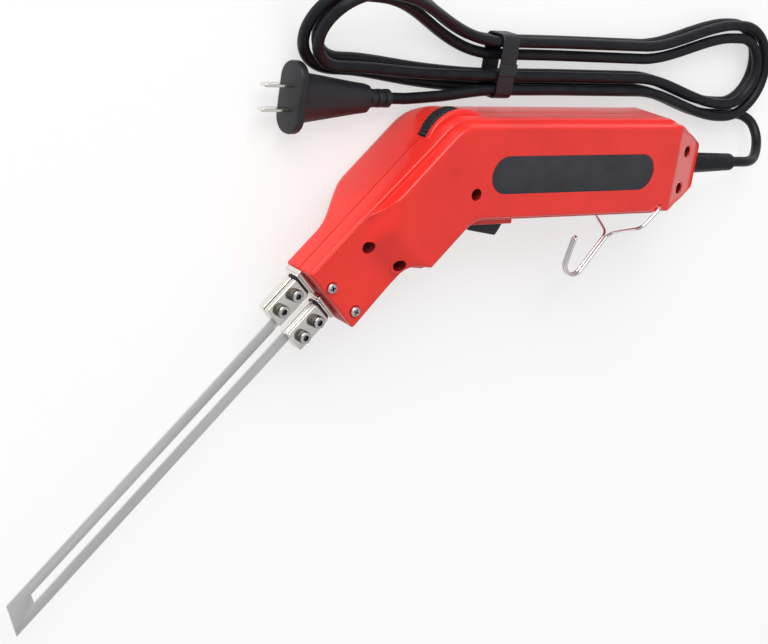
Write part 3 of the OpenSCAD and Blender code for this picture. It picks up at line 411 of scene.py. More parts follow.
def corner_points(inset):
    """Corner arcs of the outline moved inwards, one list of points per corner."""
    n = len(CORNERS)
    pts = [Vector(c[0]) for c in CORNERS]
    edges = [(pts[(i + 1) % n] - pts[i]).normalized() for i in range(n)]
    moved = []
    for i in range(n):
        a = Vector((-edges[i - 1].y, edges[i - 1].x))
        b = Vector((-edges[i].y, edges[i].x))
        moved.append(pts[i] + inset * (a + b) / (1 + a.dot(b)))
    arcs = []
    for i in range(n):
        q, e, f = moved[i], -edges[i - 1], edges[i]
        hollow = edges[i - 1].x * edges[i].y - edges[i - 1].y * edges[i].x < 0
        r = CORNERS[i][1] + inset if hollow else max(CORNERS[i][1] - inset, LEAST_R)
        half = e.angle(f) / 2
        centre = q + (e + f).normalized() * r / sin(half)
        start = q + e * r / tan(half) - centre
        turn = (pi - 2 * half) * (-1 if hollow else 1)
        arcs.append([centre + Matrix.Rotation(turn * k / ARC_STEPS, 2) @ start
                     for k in range(ARC_STEPS + 1)])
    return arcs


base_arcs = corner_points(0)
SIDE_COUNTS = [max(1, round((after[0] - arc[-1]).length / SIDE_STEP))
               for arc, after in zip(base_arcs, base_arcs[1:] + base_arcs[:1])]
_outlines = {}


def outline(inset):
    """The body's outline moved inwards, always of the same count."""
    key = round(inset * FINE)
    if key not in _outlines:
        arcs = corner_points(key / FINE)
        points = []
        for i, arc in enumerate(arcs):
            points += arc
            end = arcs[(i + 1) % len(arcs)][0]
            for j in range(1, SIDE_COUNTS[i]):
                points.append(arc[-1].lerp(end, j / SIDE_COUNTS[i]))
        _outlines[key] = points
    return _outlines[key]


def outline_point(i, inset):
    low = inset * FINE // 1 / FINE
    return outline(low)[i].lerp(outline(low + 1 / FINE)[i], (inset - low) * FINE)


def inside(poly, x, y):
    """Whether a point lies within a closed outline."""
    hit = False
    for a, b in zip(poly, poly[-1:] + poly[:-1]):
        if (a[1] > y) != (b[1] > y) and x < (b[0] - a[0]) * (y - a[1]) / (b[1] - a[1]) + a[0]:
            hit = not hit
    return hit


# Shells


def between(x, knots):
    """Height along knots (place, height), straight from one to the next."""
    if x <= knots[0][0]:
        return knots[0][1]
    for (a, p), (b, q) in zip(knots, knots[1:]):
        if x <= b:
            return p + (q - p) * (x - a) / (b - a)
    return knots[-1][1]


# Depth of each flank along the head, as (u, depth)
LEFT_FLARE = [(28, 20.5), (31, 20.3), (34, 19.4), (37.5, 17.6), (45.5, 13.3), (49, 11.95),
              (52, 11.55), (55, 11.5)]
RIGHT_FLARE = [(-42, 20.5), (-38, 21.2), (-34, 23.6), (-30, 26.6), (-26, 29.2), (-22, 30.7),
               (-18, 31), (20, 31), (23.5, 30.8), (26.4, 30), (32.6, 26), (39, 21), (45.5, 16),
               (50, 13.2), (54, 12), (58, 11.55), (62, 11.5)]
# The bay fades out from this far below the head's line, over this reach
BAY_LOW, BAY_FADE = 18.5, 7.5
HANDLE_FROM = 100
# Height of the shoulder's ridge and radius of the right edge along the head, as (u, size)
RIDGE = [(-12, 14.0), (10, 13.2), (32, 12.2), (50, 11.2)]
RIGHT_EDGE = [(-40, 5.4), (-25, 6.5), (25, 6.5), (48, 2.5), (60, 1.2)]
# The same radius along the tail, as (x, size)
TAIL_EDGE = [(150, 5.4), (185, 3.0)]
SHOULDER_END, SHOULDER_FADE = 164, 7
# Quarter round as (inset, drop) for a radius of one
QUARTER = [(0, 1.0), (0.08, 0.62), (0.3, 0.29), (0.62, 0.08), (1.0, 0)]
# Hollow at the foot of the step, as (inset, rise)
STEP_FOOT = ((0.5, 0.02), (0.2, 0.12), (0.03, 0.45), (0, 0.8))
WALL = 2.5
OUTER_GRID, INNER_GRID = 3.0, 5.0
# Half of the narrow groove along the parting line, as (inset, depth)
PARTING = [(0.9, 0), (0.88, 0.26), (0.015, 0.31), (0, 0.7)]


def tail_cut(x, depth):
    """The flanks draw in over the last stretch of the tail."""
    return depth - (depth - TAIL_W) * max(0.0, (x - (TAIL - TAIL_TAPER)) / TAIL_TAPER)


def left_depth(x, y):
    """The flank draws in towards the nose, sooner along its upper edge."""
    u, v = head_uv(x, y)
    return min(between(u + 11 * smooth((v - 11) / 10), LEFT_FLARE), tail_cut(x, LEFT))


def right_depth(x, y):
    """The flank bulges at the head, where the bay is."""
    u, v = head_uv(x, y)
    depth = between(u, RIGHT_FLARE)
    if depth > RIGHT:
        depth = RIGHT + (depth - RIGHT) * (1 - smooth((-v - BAY_LOW) / BAY_FADE))
    return min(depth, tail_cut(x, RIGHT)) if x > HANDLE_FROM else depth


def left_profile(x, y, depth, gap):
    """(inset, depth) from the parting line to the flank, with the stepped shoulder."""
    u = head_uv(x, y)[0]
    fade = 1 - smooth((x - SHOULDER_END) / SHOULDER_FADE)
    ridge = min(between(u, RIDGE), depth - 0.4)
    rise = depth - ridge
    step = smooth((rise - 0.5) / 4) * fade
    inset = fade + 1.6 * step
    if gap:
        low = min(ridge, depth - 2)
        return [(gap, 0), (gap, low - gap), (gap + inset, low - gap + 0.3),
                (gap + inset + 0.4, depth - gap - 1), (gap + inset + 1.4, depth - gap)]
    foot = min(1.0, rise / 4)
    edge_r = min(1.5, 0.5 * rise)
    return (PARTING + [(0, ridge * 0.5)]
            + [(fade * a, ridge - b) for a, b in QUARTER]
            + [(inset - a * step, ridge + b * foot) for a, b in STEP_FOOT]
            + [(inset + 0.1 + a * edge_r, depth - b * edge_r) for a, b in QUARTER])


def right_profile(x, y, depth, gap):
    """(inset, depth) from the parting line to the flank, with a round edge."""
    r = between(head_uv(x, y)[0], RIGHT_EDGE)
    if x > TAIL_EDGE[0][0]:
        r = between(x, TAIL_EDGE)
    if gap:
        r = max(0.6, r - gap)
        return [(gap, 0)] + [(gap + r * (1 - cos(a)), depth - gap - r + r * sin(a))
                             for a in (0, pi / 4, pi / 2)]
    return PARTING + [(0, 0.5 * (depth - r))] + [
        (r * (1 - cos(a)), depth - r + r * sin(a)) for a in (pi / 2 * k / 8 for k in range(9))]


def shell_side(bm, depth_at, profile, sign, gap, grid):
    """One face of a shell: rings round the outline, then the flank filled over a grid of points."""
    count = len(outline(0))
    profiles = []
    for i in range(count):
        x, y = outline_point(i, 3.0)
        profiles.append(profile(x, y, depth_at(x, y), gap))
    rings = []
    for j in range(len(profiles[0])):
        spots = [(outline_point(i, profiles[i][j][0]), profiles[i][j][1]) for i in range(count)]
        rings.append([(p.x, p.y, MID + sign * depth) for p, depth in spots])
    # the flank's edge takes the depth of its own place
    rings[-1] = [(x, y, MID + sign * (depth_at(x, y) - gap)) for x, y, z in rings[-1]]
    loops = [add_ring(bm, ring) for ring in rings]
    for near, far in zip(loops, loops[1:]):
        bmesh.ops.bridge_loops(bm, edges=near[1] + far[1])
    edge = [Vector((p[0], p[1])) for p in rings[-1]]
    clear = [outline_point(i, profiles[i][-1][0] + 0.45 * grid) for i in range(count)]
    low, high = (Vector(map(pick, zip(*edge))) for pick in (min, max))
    chamfer = TAIL - TAIL_TAPER
    columns = [low.x + grid * (k + 0.5) for k in range(int((high.x - low.x) / grid))]
    columns = [x for x in columns if abs(x - chamfer) > 0.6 * grid]
    columns += [chamfer - 0.25, chamfer + 0.25]
    rows = [low.y + grid * (k + 0.5) for k in range(int((high.y - low.y) / grid))]
    inner = [Vector((x, y)) for x in columns for y in rows if inside(clear, x, y)]
    border = [(i, (i + 1) % count) for i in range(count)]
    points, _, faces, origin, _, _ = delaunay_2d_cdt(edge + inner, border, [], 1, 1e-6)
    verts = []
    for point, sources in zip(points, origin):
        on_edge = [s for s in sources if s < count]
        verts.append(loops[-1][0][on_edge[0]] if on_edge else
                     bm.verts.new((point.x, point.y, MID + sign * (depth_at(*point) - gap))))
    for face in faces:
        bm.faces.new([verts[k] for k in face])
    return loops[0][1]


def shell(depth_at, profile, sign):
    """A hollow shell, closed along the parting line."""
    def least_depth(x, y):
        """Keeps the inside clear of the outside where the flank is steep."""
        return min(depth_at(x + WALL * cos(a), y + WALL * sin(a)) for a in spread(8))

    bm = bmesh.new()
    outer = shell_side(bm, depth_at, profile, sign, 0, OUTER_GRID)
    inner = shell_side(bm, least_depth, profile, sign, WALL, INNER_GRID)
    bmesh.ops.bridge_loops(bm, edges=outer + inner)
    return bm


def carve(name, whole, joined, cut):
    """The solid with some solids joined to it and others cut out, as a mesh."""
    parts = [bpy.data.objects.new(name, gathered(name, solids))
             for solids in ([whole], joined, cut)]
    for obj in parts:
        show(obj)
    for helper, operation in zip(parts[1:], ("UNION", "DIFFERENCE")):
        step = parts[0].modifiers.new(operation, "BOOLEAN")
        step.operation = operation
        step.solver = "EXACT"
        step.use_self = True
        step.object = helper
    graph = bpy.context.evaluated_depsgraph_get()
    mesh = bpy.data.meshes.new_from_object(parts[0].evaluated_get(graph))
    for obj in parts:
        old = obj.data
        bpy.data.objects.remove(obj)
        bpy.data.meshes.remove(old)
    mesh.name = name
    mesh.materials.clear()
    return mesh


def stadium(cx, cy, length, height, steps=24):
    """Outline with two straight sides and round ends."""
    r = height / 2
    pts = []
    for side, first in ((1, -90), (-1, 90)):
        for k in range(steps + 1):
            a = radians(first + 180 * k / steps)
            pts.append((cx + side * (length / 2 - r) + r * cos(a), cy + r * sin(a)))
    return pts


SCREWS = [head(47.2, 10), head(40.7, -11), (21, 2.2), (TAIL - 15.4, 23), (TAIL - 17.5, 1)]
NOSE_SCREWS = [head(NOSE - 4.6, 9), head(NOSE - 6.6, -13)]
# Sunk seats of the case screws: radius and height, then the bore and the post round it
SEAT_R, SEAT, BORE_R, POST_R = 3.4, 5, 1.75, 4.6
NOSE_BORE_R, RELIEF_IN, RELIEF_OUT, RELIEF_DEEP = 1.7, 2.5, 3.5, 1.2
LABEL_AT = (TAIL - 106.8, CORD_Y + 0.6)
LABEL_LEN, LABEL_H, LABEL_T, LABEL_GAP = 122, 21, 0.5, 0.2
RIM_H, RIM_T = 4.5, 1.6
SLOT_W, SLOT_FRONT, SLOT_REAR = 6.1, 25.5, TRIGGER[0] + TRIGGER_REACH + 1.2
DIAL_SLOT_R, DIAL_SLOT_W = 18.2, 4.2
BOOT_BORE_R, HOOK_BORE_R = 6.15, 1.3
POCKET_U, POCKET_W = 58.7, 9
# Free edge of the dial's guard as (radius, height), and how far its root is sunk in the shell
GUARD_RIM = [(23.5, 4.2), (23.75, 4.4), (23.8, 4.8), (23.8, 6.0), (23.7, 6.5), (23.45, 6.9),
             (23.05, 7.12), (22.5, 7.2)]
GUARD_SUNK, GUARD_ABOVE = 1.2, 15


def shared_cuts():
    """What both shells leave free: dial, trigger, boot and insulator."""
    pocket = (POCKET_U, 3.2 - NOSE_LOW, -POCKET_W), (NOSE + 3, HEAD_TOP - WALL, POCKET_W)
    return [cylinder(DIAL, DIAL_SLOT_R, -DIAL_SLOT_W, DIAL_SLOT_W, 96),
            box((SLOT_FRONT, BOTTOM - RIM_H - 2, -SLOT_W), (SLOT_REAR, BOTTOM + 4.8, SLOT_W)),
            lathe([(BOOT_BORE_R, TAIL - 8), (BOOT_BORE_R, TAIL + 2)], along_x(CORD_Y, MID)),
            box(*pocket, IN_HEAD)]


def guard():
    """Crescent that shields the dial, rounded along its free edge and sunk in the shell."""
    edge = outline(GUARD_SUNK)
    least_r = min(r for r, w in GUARD_RIM)

    def reach(angle, r):
        return (GUARD[0] + r * cos(angle), GUARD[1] + r * sin(angle))

    def covered(point):
        return dist(point, GUARD) < least_r - 0.2 and point[1] > GUARD_ABOVE

    angles = [a for a in spread(720) if not inside(edge, *reach(a, least_r))]
    buried = [tuple(point) for point in reversed(edge) if covered(point)]
    return loft([[(*reach(a, r), w) for a in angles] + [(x, y, w) for x, y in buried]
                 for r, w in GUARD_RIM], FLANK)


def trigger_rim(near, far):
    """Half of the collar round the trigger's slot."""
    low, high, root = BOTTOM - RIM_H, BOTTOM + 1, HEAD_LOW - 0.8
    rear = SLOT_REAR + RIM_T
    edge = [(bend_x(-root, low), low), (rear, low), (rear, high), (bend_x(-root, high), high)]
    return slab(edge, near, far, rim=0.6)


posts = [cylinder(site, POST_R, 0, left_depth(*site) - 1.2) for site in SCREWS]
cut = shared_cuts() + [cylinder(HOOK, HOOK_BORE_R, 10, LEFT + 3, 24)]
for site in SCREWS:
    cut += [cylinder(site, SEAT_R, SEAT, LEFT + 4), cylinder(site, BORE_R, -2, SEAT + 1, 24)]
groove_low, groove_high = NOSE_W - RELIEF_DEEP, NOSE_W + 1
groove = [(RELIEF_IN, groove_low), (RELIEF_OUT, groove_low), (RELIEF_OUT, groove_high),
          (RELIEF_IN, groove_high)]
for site in NOSE_SCREWS:
    cut += [cylinder(site, NOSE_BORE_R, 2, LEFT, 24),
            lathe(groove, upright(*site), 40, closed=True)]
label_hole = stadium(*LABEL_AT, LABEL_LEN + LABEL_GAP, LABEL_H + LABEL_GAP)
cut.append(slab(label_hole, LEFT - LABEL_T, LEFT + 3))
left_mesh = carve("left_shell", shell(left_depth, left_profile, 1),
                  posts + [guard(), trigger_rim(0.05, SLOT_W + RIM_T)], cut)
left_shell = place_mesh("left_shell", left_mesh, "red_shell", ("left_housing",), sharp=30)
# painted shade: the walls of the sunk seats get a darker red than the flank
left_shell.data.materials.append(SKINS["red_painted_shade"])
for face in left_shell.data.polygons:
    x, y, z = face.center / MM
    near = min(hypot(x - a, y - b) for a, b in SCREWS)
    if near < SEAT_R + 0.05 and z < MID + left_depth(x, y) - 0.9:
        face.material_index = 1

right_mesh = carve("right_shell", shell(right_depth, right_profile, -1),
                   [trigger_rim(-SLOT_W - RIM_T, -0.05)],
                   shared_cuts() + [cylinder(HOOK, HOOK_BORE_R, -LEFT - 3, -10, 24)])
place_mesh("right_shell", right_mesh, "red_shell", ("right_housing",), sharp=30)


# Label, screws and terminals


def polar(radius, height, angles):
    """Ring of points whose radius may change with the angle."""
    reach = radius if callable(radius) else lambda a: radius
    return [(reach(a) * cos(a), reach(a) * sin(a), height) for a in angles]


def cross(arm, half):
    """Outline of a cross slot as a radius for each angle."""
    def radius(a):
        turn = abs((a + pi / 4) % (pi / 2) - pi / 4)
        return min(arm / cos(turn), half / max(sin(turn), 1e-6))
    return radius


def hexagon(across):
    """Outline of a hexagon socket as a radius for each angle."""
    return lambda a: across / 2 / cos((a + pi / 6) % (pi / 3) - pi / 6)


def screw(site, seat, r, h, shank_r, shank_from, turn):
    """Pan head screw with a cross slot."""
    angles = spread(96)
    rings = [polar(shank_r, shank_from, angles), polar(shank_r, seat, angles)]
    for part, rise in ((0.97, 0), (1, 0.08), (1, 0.45), (0.96, 0.68), (0.85, 0.88), (0.7, 0.97)):
        rings.append(polar(r * part, seat + h * rise, angles))
    for arm, half, rise in ((0.6, 0.16, 1), (0.55, 0.12, 0.75), (0.25, 0.09, 0.35)):
        rings.append(polar(cross(arm * r, half * r), seat + h * rise, angles))
    return loft(rings, upright(*site) @ Matrix.Rotation(turn, 4, "Z"))


def paint_slot_shade(obj, sites, r, top):
    """Paint shade on the walls and floor of each cross slot, as a darker steel."""
    obj.data.materials.append(SKINS["steel_painted_shade"])
    for face in obj.data.polygons:
        x, y, z = face.center / MM
        near = min(hypot(x - a, y - b) for a, b in sites)
        if near < 0.6 * r and MID + top - 1.7 < z < MID + top - 0.05:
            face.material_index = 1


CASE_R, CASE_H, CASE_SHANK_R, CASE_FROM = 2.9, 2.2, 1.5, -12
PAN_R, PAN_H, PAN_SHANK_R, PAN_FROM = 2.8, 1.6, 1.4, 1.2 - NOSE_W
case_screws = [screw(site, SEAT, CASE_R, CASE_H, CASE_SHANK_R, CASE_FROM, 0.5 + 0.7 * k)
               for k, site in enumerate(SCREWS)]
case_piece = piece("case_screws", case_screws, "housing_screws")
paint_slot_shade(case_piece, SCREWS, CASE_R, SEAT + CASE_H)
pan_screws = [screw(site, NOSE_W, PAN_R, PAN_H, PAN_SHANK_R, PAN_FROM, 0.35 + 0.9 * k)
              for k, site in enumerate(NOSE_SCREWS)]
pan_piece = piece("nose_pan_screws", pan_screws, "nose_screws")
paint_slot_shade(pan_piece, NOSE_SCREWS, PAN_R, NOSE_W + PAN_H)
label = stadium(*LABEL_AT, LABEL_LEN, LABEL_H)
piece("label_plate", [slab(label, LEFT - LABEL_T, LEFT, rim=0.12, steps=2)], "rating_label")


def round_rect(a, b, r, steps=6):
    """Rectangle between two corners, rounded."""
    points = []
    for cx, cy, first in ((b[0] - r, b[1] - r, 0), (a[0] + r, b[1] - r, 90),
                          (a[0] + r, a[1] + r, 180), (b[0] - r, a[1] + r, 270)):
        for k in range(steps + 1):
            t = radians(first + 90 * k / steps)
            points.append((cx + r * cos(t), cy + r * sin(t)))
    return points


BLOCK_H, BLOCK_DEPTH, PLATE = 13.3, 5.0, (0.55, 3.75)

for name, v in (("upper", UPPER_V), ("lower", LOWER_V)):
    clamp = round_rect((BLOCK_U, v - BLOCK_H / 2), (BLOCK_U + BLOCK_LEN, v + BLOCK_H / 2), 1.2)
    # stud, flange, the plate before it, neck and clamp
    piece(name + "_clamp_block", [
        lathe([(2.3, 59.3), (2.5, 59.6), (2.5, 81.5)], along_head(v), 32),
        slab(round_rect((81, v - 8.1), (83.4, v + 8.1), 0.5), -8.5, 3.5, IN_HEAD, 0.35),
        slab(round_rect((83.3, v - 7.6), (84.7, v + 7.6), 0.4), -7.6, 3.1, IN_HEAD, 0.3),
        box((82.5, v - 3, -BLOCK_DEPTH), (87, v + 3, -2), IN_HEAD, 0.3),
        slab(clamp, -BLOCK_DEPTH, -0.55, IN_HEAD, 0.4)], name + "_terminal")
    piece(name + "_plate", [slab(clamp, *PLATE, IN_HEAD, 0.45)], name + "_clamp_plate")
    # painted shade: a black strip set in the slit between the plate and the clamp stands for the
    # shade there
    slit_shade = slab(round_rect((84.8, v - 6.4), (85.9, v + 6.4), 0.4, 2), -4.6, 2.4, IN_HEAD, 0.2)
    place_mesh(name + "_spacer", gathered(name + "_spacer", [slit_shade]), "black_plastic")

CAP_SCREWS = [(u, v) for u in (91.75, 102.75) for v in (18.0, -4.2)]
CAP_R, CAP_H, CAP_SHANK_R, SOCKET = 3.5, 4.0, 2.0, 3.0
KNURL, KNURLS = 0.16, 32


def knurl(a):
    return CAP_R - KNURL * (0.5 + 0.5 * cos(KNURLS * a))


def cap_screw(where):
    """Socket cap screw with a knurled head."""
    angles = spread(96)
    seat, top = PLATE[1], PLATE[1] + CAP_H
    rings = [polar(CAP_SHANK_R, -BLOCK_DEPTH, angles), polar(CAP_SHANK_R, seat, angles),
             polar(CAP_R - 0.25, seat, angles), polar(knurl, seat + 0.25, angles),
             polar(knurl, top - 0.7, angles)]
    rings += [polar(CAP_R - inset, top - drop, angles)
              for inset, drop in ((KNURL, 0.45), (0.4, 0.15), (0.7, 0))]
    rings += [polar(hexagon(across), top - drop, angles)
              for across, drop in ((SOCKET + 0.3, 0), (SOCKET, 0.2), (SOCKET, 2.0), (0.3, 2.5))]
    return loft(rings, where)


cap_piece = piece("cap_screws", [cap_screw(in_head(u, v)) for u, v in CAP_SCREWS], "clamp_screws")
# the top keeps the screw's own steel; painted shade round the side and in the socket
cap_piece.data.materials.append(SKINS["steel_painted_shade"])
for face in cap_piece.data.polygons:
    rise = face.center.z / MM - MID - PLATE[1]
    flat = abs(face.normal.z) > 0.6
    face.material_index = 0 if flat and rise > CAP_H - 0.6 else 1

BLADE_TOP, BLADE_LOW, BLADE_LEG, BLADE_END, BLADE_T = 15.7, -1.9, 6.2, 312.5, 1.0
blade = [
    (BLOCK_U, BLADE_LOW), (BLADE_END, BLADE_LOW), (BLADE_END - 8, BLADE_TOP), (BLOCK_U, BLADE_TOP),
    (BLOCK_U, BLADE_TOP - BLADE_LEG), (BLADE_END - 20, BLADE_TOP - BLADE_LEG),
    (BLADE_END - 18, BLADE_LOW + BLADE_LEG), (BLOCK_U, BLADE_LOW + BLADE_LEG)]
piece("slotted_blade", [slab(blade, -BLADE_T / 2, BLADE_T / 2, IN_HEAD, 0.16, 2)], "blade")


# Dial, trigger, hook and boot

WHEEL_R, RIB, RIBS = 17.5, 0.5, 48


def ribbed(a):
    return WHEEL_R - RIB * max(0.0, cos(RIBS * a)) ** 2


WHEEL = [(3.0, -9.5), (3.0, -2.8), (12.4, -2.8), (12.9, -3.5), (16.6, -3.5), (ribbed, -3.0),
         (ribbed, 3.0), (16.6, 3.5), (12.9, 3.5), (12.4, 2.8), (0.5, 2.8)]
wheel = loft([polar(r, w, spread(8 * RIBS)) for r, w in WHEEL], upright(*DIAL))
piece("thumb_wheel", [wheel], "dial_wheel", "dial")


def trigger_outline():
    """Front, sole, the end swung from the pin, and the lip that keeps it in its slot."""
    top, low = TRIGGER[1] + 4, TRIGGER[1] - 11
    front = TRIGGER[0] - 4
    points = [(front, top), (front, low), (front + 6, low - 2.6)]
    for k in range(13):
        a = radians(-38.6 + 35.7 * k / 12)
        points.append((TRIGGER[0] + TRIGGER_REACH * cos(a), TRIGGER[1] + TRIGGER_REACH * sin(a)))
    lip = TRIGGER_REACH + 4
    for k in range(5):
        a = radians(-2.5 + 9.8 * k / 4)
        points.append((TRIGGER[0] + lip * cos(a), TRIGGER[1] + lip * sin(a)))
    return points


TRIGGER_HALF_W = 5.5
finger = slab(trigger_outline(), -TRIGGER_HALF_W, TRIGGER_HALF_W, rim=0.8, steps=4)
piece("finger_trigger", [finger], "trigger", "trigger_lever")

SPRING_X, SPRING_R, SPRING_WIRE, SPRING_TURNS, TURN_STEPS = 41.0, 2.4, 0.35, 4, 24
spring_low, spring_high = (corner.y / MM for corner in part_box("trigger_spring"))
coil = []
for k in range(TURN_STEPS * SPRING_TURNS + 1):
    turn = 2 * pi * k / TURN_STEPS
    rise = (spring_high - spring_low - 2 * SPRING_WIRE) * k / (TURN_STEPS * SPRING_TURNS)
    coil.append((SPRING_X + SPRING_R * cos(turn), spring_low + SPRING_WIRE + rise,
                 SPRING_R * sin(turn)))
spring = piece("return_spring", [placed(wire(coil, SPRING_WIRE, 10), FLANK)], "trigger_spring")
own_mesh(spring)


def bent(points, reach, steps=8):
    """Straight runs joined by smooth bends."""
    pts = [Vector(p) for p in points]
    out = [pts[0]]
    for a, b, c in zip(pts, pts[1:], pts[2:]):
        start = b + (a - b).normalized() * min(reach, (a - b).length / 2.2)
        end = b + (c - b).normalized() * min(reach, (c - b).length / 2.2)
        for k in range(steps + 1):
            t = k / steps
            out.append((1 - t) ** 2 * start + 2 * t * (1 - t) * b + t * t * end)
    return out + [pts[-1]]


# Hook: half the gap of its paired wires, half its spread, where its ends stop, its bend and tip
HOOK_PAIR, HOOK_OUT, HOOK_END, HOOK_WIRE_R = 1.15, 22, 15.3, 1.0
BEND_X, BEND_Y, BEND_R = HOOK[0] - 40.3, HOOK[1] - 38.7, 7.3
TIP_X, TIP_Y = HOOK[0] - 43.8, HOOK[1] - 24


def hook_side(side):
    """One of the two legs, from its end in the flank's bore to the hook's tip."""
    x, y = HOOK
    pair, out = HOOK_PAIR * side, HOOK_OUT * side
    curve = [(BEND_X + BEND_R * cos(a), BEND_Y + BEND_R * sin(a), pair)
             for a in (radians(-42 - 138 * k / 24) for k in range(25))]
    leg = [(x, y, HOOK_END * side), (x, y, out), (x - 13, y - 12.2, out),
           (x - 17.5, y - 21.5, pair), curve[0]]
    return bent(leg, 4) + [Vector(p) for p in curve[1:]] + [Vector((TIP_X, TIP_Y, pair))]


tip = [Vector((TIP_X + 0.6 * sin(a), TIP_Y + 1.2 * sin(a), HOOK_PAIR * cos(a)))
       for a in (pi * k / 8 for k in range(1, 8))]
hook_wire = wire(hook_side(1) + tip + hook_side(-1)[::-1], HOOK_WIRE_R, 16)
piece("wire_hook", [placed(hook_wire, FLANK)], "hanging_hook", "hook")

BOOT_R, BOOT_TIP_R, BOOT_LEN = 6.4, 5.2, 41.0
# collar inside the shell, taper, rounded tip
boot = [(7.2, -5.5), (7.5, -5.2), (7.5, -2.8), (7.2, -2.5), (6.0, -2.5), (6.0, 0),
        (BOOT_R - 0.05, 0), (BOOT_R, 0.3)]
boot += [(BOOT_R + (BOOT_TIP_R - BOOT_R) * t, BOOT_LEN * t)
         for t in (0.1, 0.2, 0.35, 0.5, 0.65, 0.8, 0.9, 0.96)]
boot += [(BOOT_TIP_R - inset, BOOT_LEN - back)
         for inset, back in ((0, 0.8), (0.25, 0.25), (0.6, 0), (1.7, 0))]
boot_at = along_x(CORD_Y, MID) @ Matrix.Translation((0, 0, TAIL))
piece("cord_boot", [lathe(boot, boot_at, 64)], "strain_relief")


# Cord: free stretch, tied hank and plug

CORD_D = 6.2
TIE_X, HANK_Y, HANK_LEFT, HANK_RIGHT = 60.0, 66.0, -50.0, 250.0
PLUG_TIP_X, PLUG_Z = -15.0, 10.0
LAYER = CORD_D + 0.9
TIE_LIFT = 1.5
# The pass that climbs to the upper layer, and the count of folds
TURNING, PASSES = 3, 6
WIDENS_AT, HANK_SWAY, HANK_LEAN = 170, 19, radians(30)


def left_part(x):
    """How far a place lies towards the hank's left end, from 0 to 1."""
    return smooth((TIE_X - 6 - x) / (TIE_X - 8 - HANK_LEFT))


def right_part(x):
    """How far a place lies towards the hank's right end, from 0 to 1."""
    return smooth((x - WIDENS_AT) / (HANK_RIGHT - WIDENS_AT - 5))


def middle_y(x):
    return HANK_Y + HANK_SWAY * left_part(x)


def lane_r(k):
    """Radius of a fold at the hank's ends."""
    return 3 * CORD_D + (CORD_D + 1.6) * abs(TURNING - k) / 2


def lane_waist(k):
    """Distance of a fold from the middle line at the tie."""
    return (CORD_D + 1.5) * (0.5 + abs(TURNING - k) / 2)


def lane_q(k, x):
    return lane_waist(k) + (lane_r(k) - lane_waist(k)) * max(left_part(x), right_part(x))


def leant(x, q, n):
    """Place of a strand q across and n above, with the left end leant up."""
    a = HANK_LEAN * left_part(x)
    lift = TIE_LIFT * (1 - smooth((abs(x - TIE_X) - 8) / 40))
    return (x, middle_y(x) + q * cos(a) - n * sin(a),
            CORD_D / 2 + lift + (q + lane_q(0, x)) * sin(a) + n * cos(a))


def hank_run(k, count=24):
    """One pass along the hank: even ones to the left, odd ones back."""
    side = -1 if k % 2 == 0 else 1
    start = HANK_RIGHT if side < 0 else HANK_LEFT
    points = []
    for i in range(count + 1):
        t = i / count
        x = start + side * t * (HANK_RIGHT - HANK_LEFT)
        layer = 0 if k < TURNING else 1 if k > TURNING else smooth(t)
        points.append(leant(x, side * lane_q(k, x), LAYER * layer))
    return points


def hank_end(k, count=12):
    """The turn that follows a pass."""
    up = 1 if k % 2 == 0 else -1
    x = HANK_LEFT if up > 0 else HANK_RIGHT
    points = []
    for i in range(1, count):
        a = pi * i / count
        r = lane_r(k) + (lane_r(k + 1) - lane_r(k)) * i / count
        y, z = leant(x, -up * r * cos(a), 0 if k < TURNING else LAYER)[1:]
        points.append((x - up * r * sin(a), y, z))
    return points


TIE_Y = HANK_Y - lane_waist(0)
TIE_Z = CORD_D / 2 + TIE_LIFT + LAYER
PLUG_Y = TIE_Y - 5.8


def plug_run(x):
    """The last stretch, from the tie to the plug."""
    t = smooth((TIE_X - x) / (TIE_X - PLUG_TIP_X - 2 * CORD_D))
    return (x, TIE_Y + (PLUG_Y - TIE_Y) * t, TIE_Z + (PLUG_Z - TIE_Z) * t)


hank = []
for k in range(PASSES):
    hank += hank_run(k) + hank_end(k)
hank += [p for p in hank_run(PASSES) if p[0] > TIE_X + 10]
plug_stops = (60, 48, 35, 20, PLUG_TIP_X + 2 * CORD_D, PLUG_TIP_X + CORD_D, PLUG_TIP_X)
hank += [plug_run(x) for x in plug_stops]
free_run = [
    (239, 12, 31), (246, 12, 31), (258, 11.5, 29), (268, 12.5, 24.5), (276, 17, 18.5),
    (280.5, 24, 12.5), (279.5, 31, 7.5), (273.5, 34.8, 4.3),
    (HANK_RIGHT + CORD_D + 10, *hank[0][1:]), (HANK_RIGHT + CORD_D, *hank[0][1:]),
]


def flowing(points, step):
    """Catmull-Rom line through the points, evenly sampled."""
    pts = [Vector(p) for p in points]
    pts = [2 * pts[0] - pts[1]] + pts + [2 * pts[-1] - pts[-2]]
    fine = []
    for i in range(1, len(pts) - 2):
        a, b, c, d = pts[i - 1:i + 3]
        for j in range(10):
            t = j / 10
            fine.append(0.5 * (2 * b + (c - a) * t + (2 * a - 5 * b + 4 * c - d) * t * t
                               + (3 * b - a - 3 * c + d) * t ** 3))
    fine.append(pts[-2])
    out, left = [fine[0]], step
    for a, b in zip(fine, fine[1:]):
        gap = (b - a).length
        while gap > left:
            a = a + (b - a) * (left / gap)
            out.append(a)
            gap, left = (b - a).length, step
        left -= gap
    if (out[-1] - fine[-1]).length < step / 2:
        out.pop()
    return out + [fine[-1]]


CORD_STEP = 3.0
cord_path = flowing(free_run + hank, CORD_STEP)
cord = place_mesh("cord", gathered("cord", [wire(cord_path, CORD_D / 2, 18)]), "black_rubber",
                  ("power_cord", "cord_hank"))


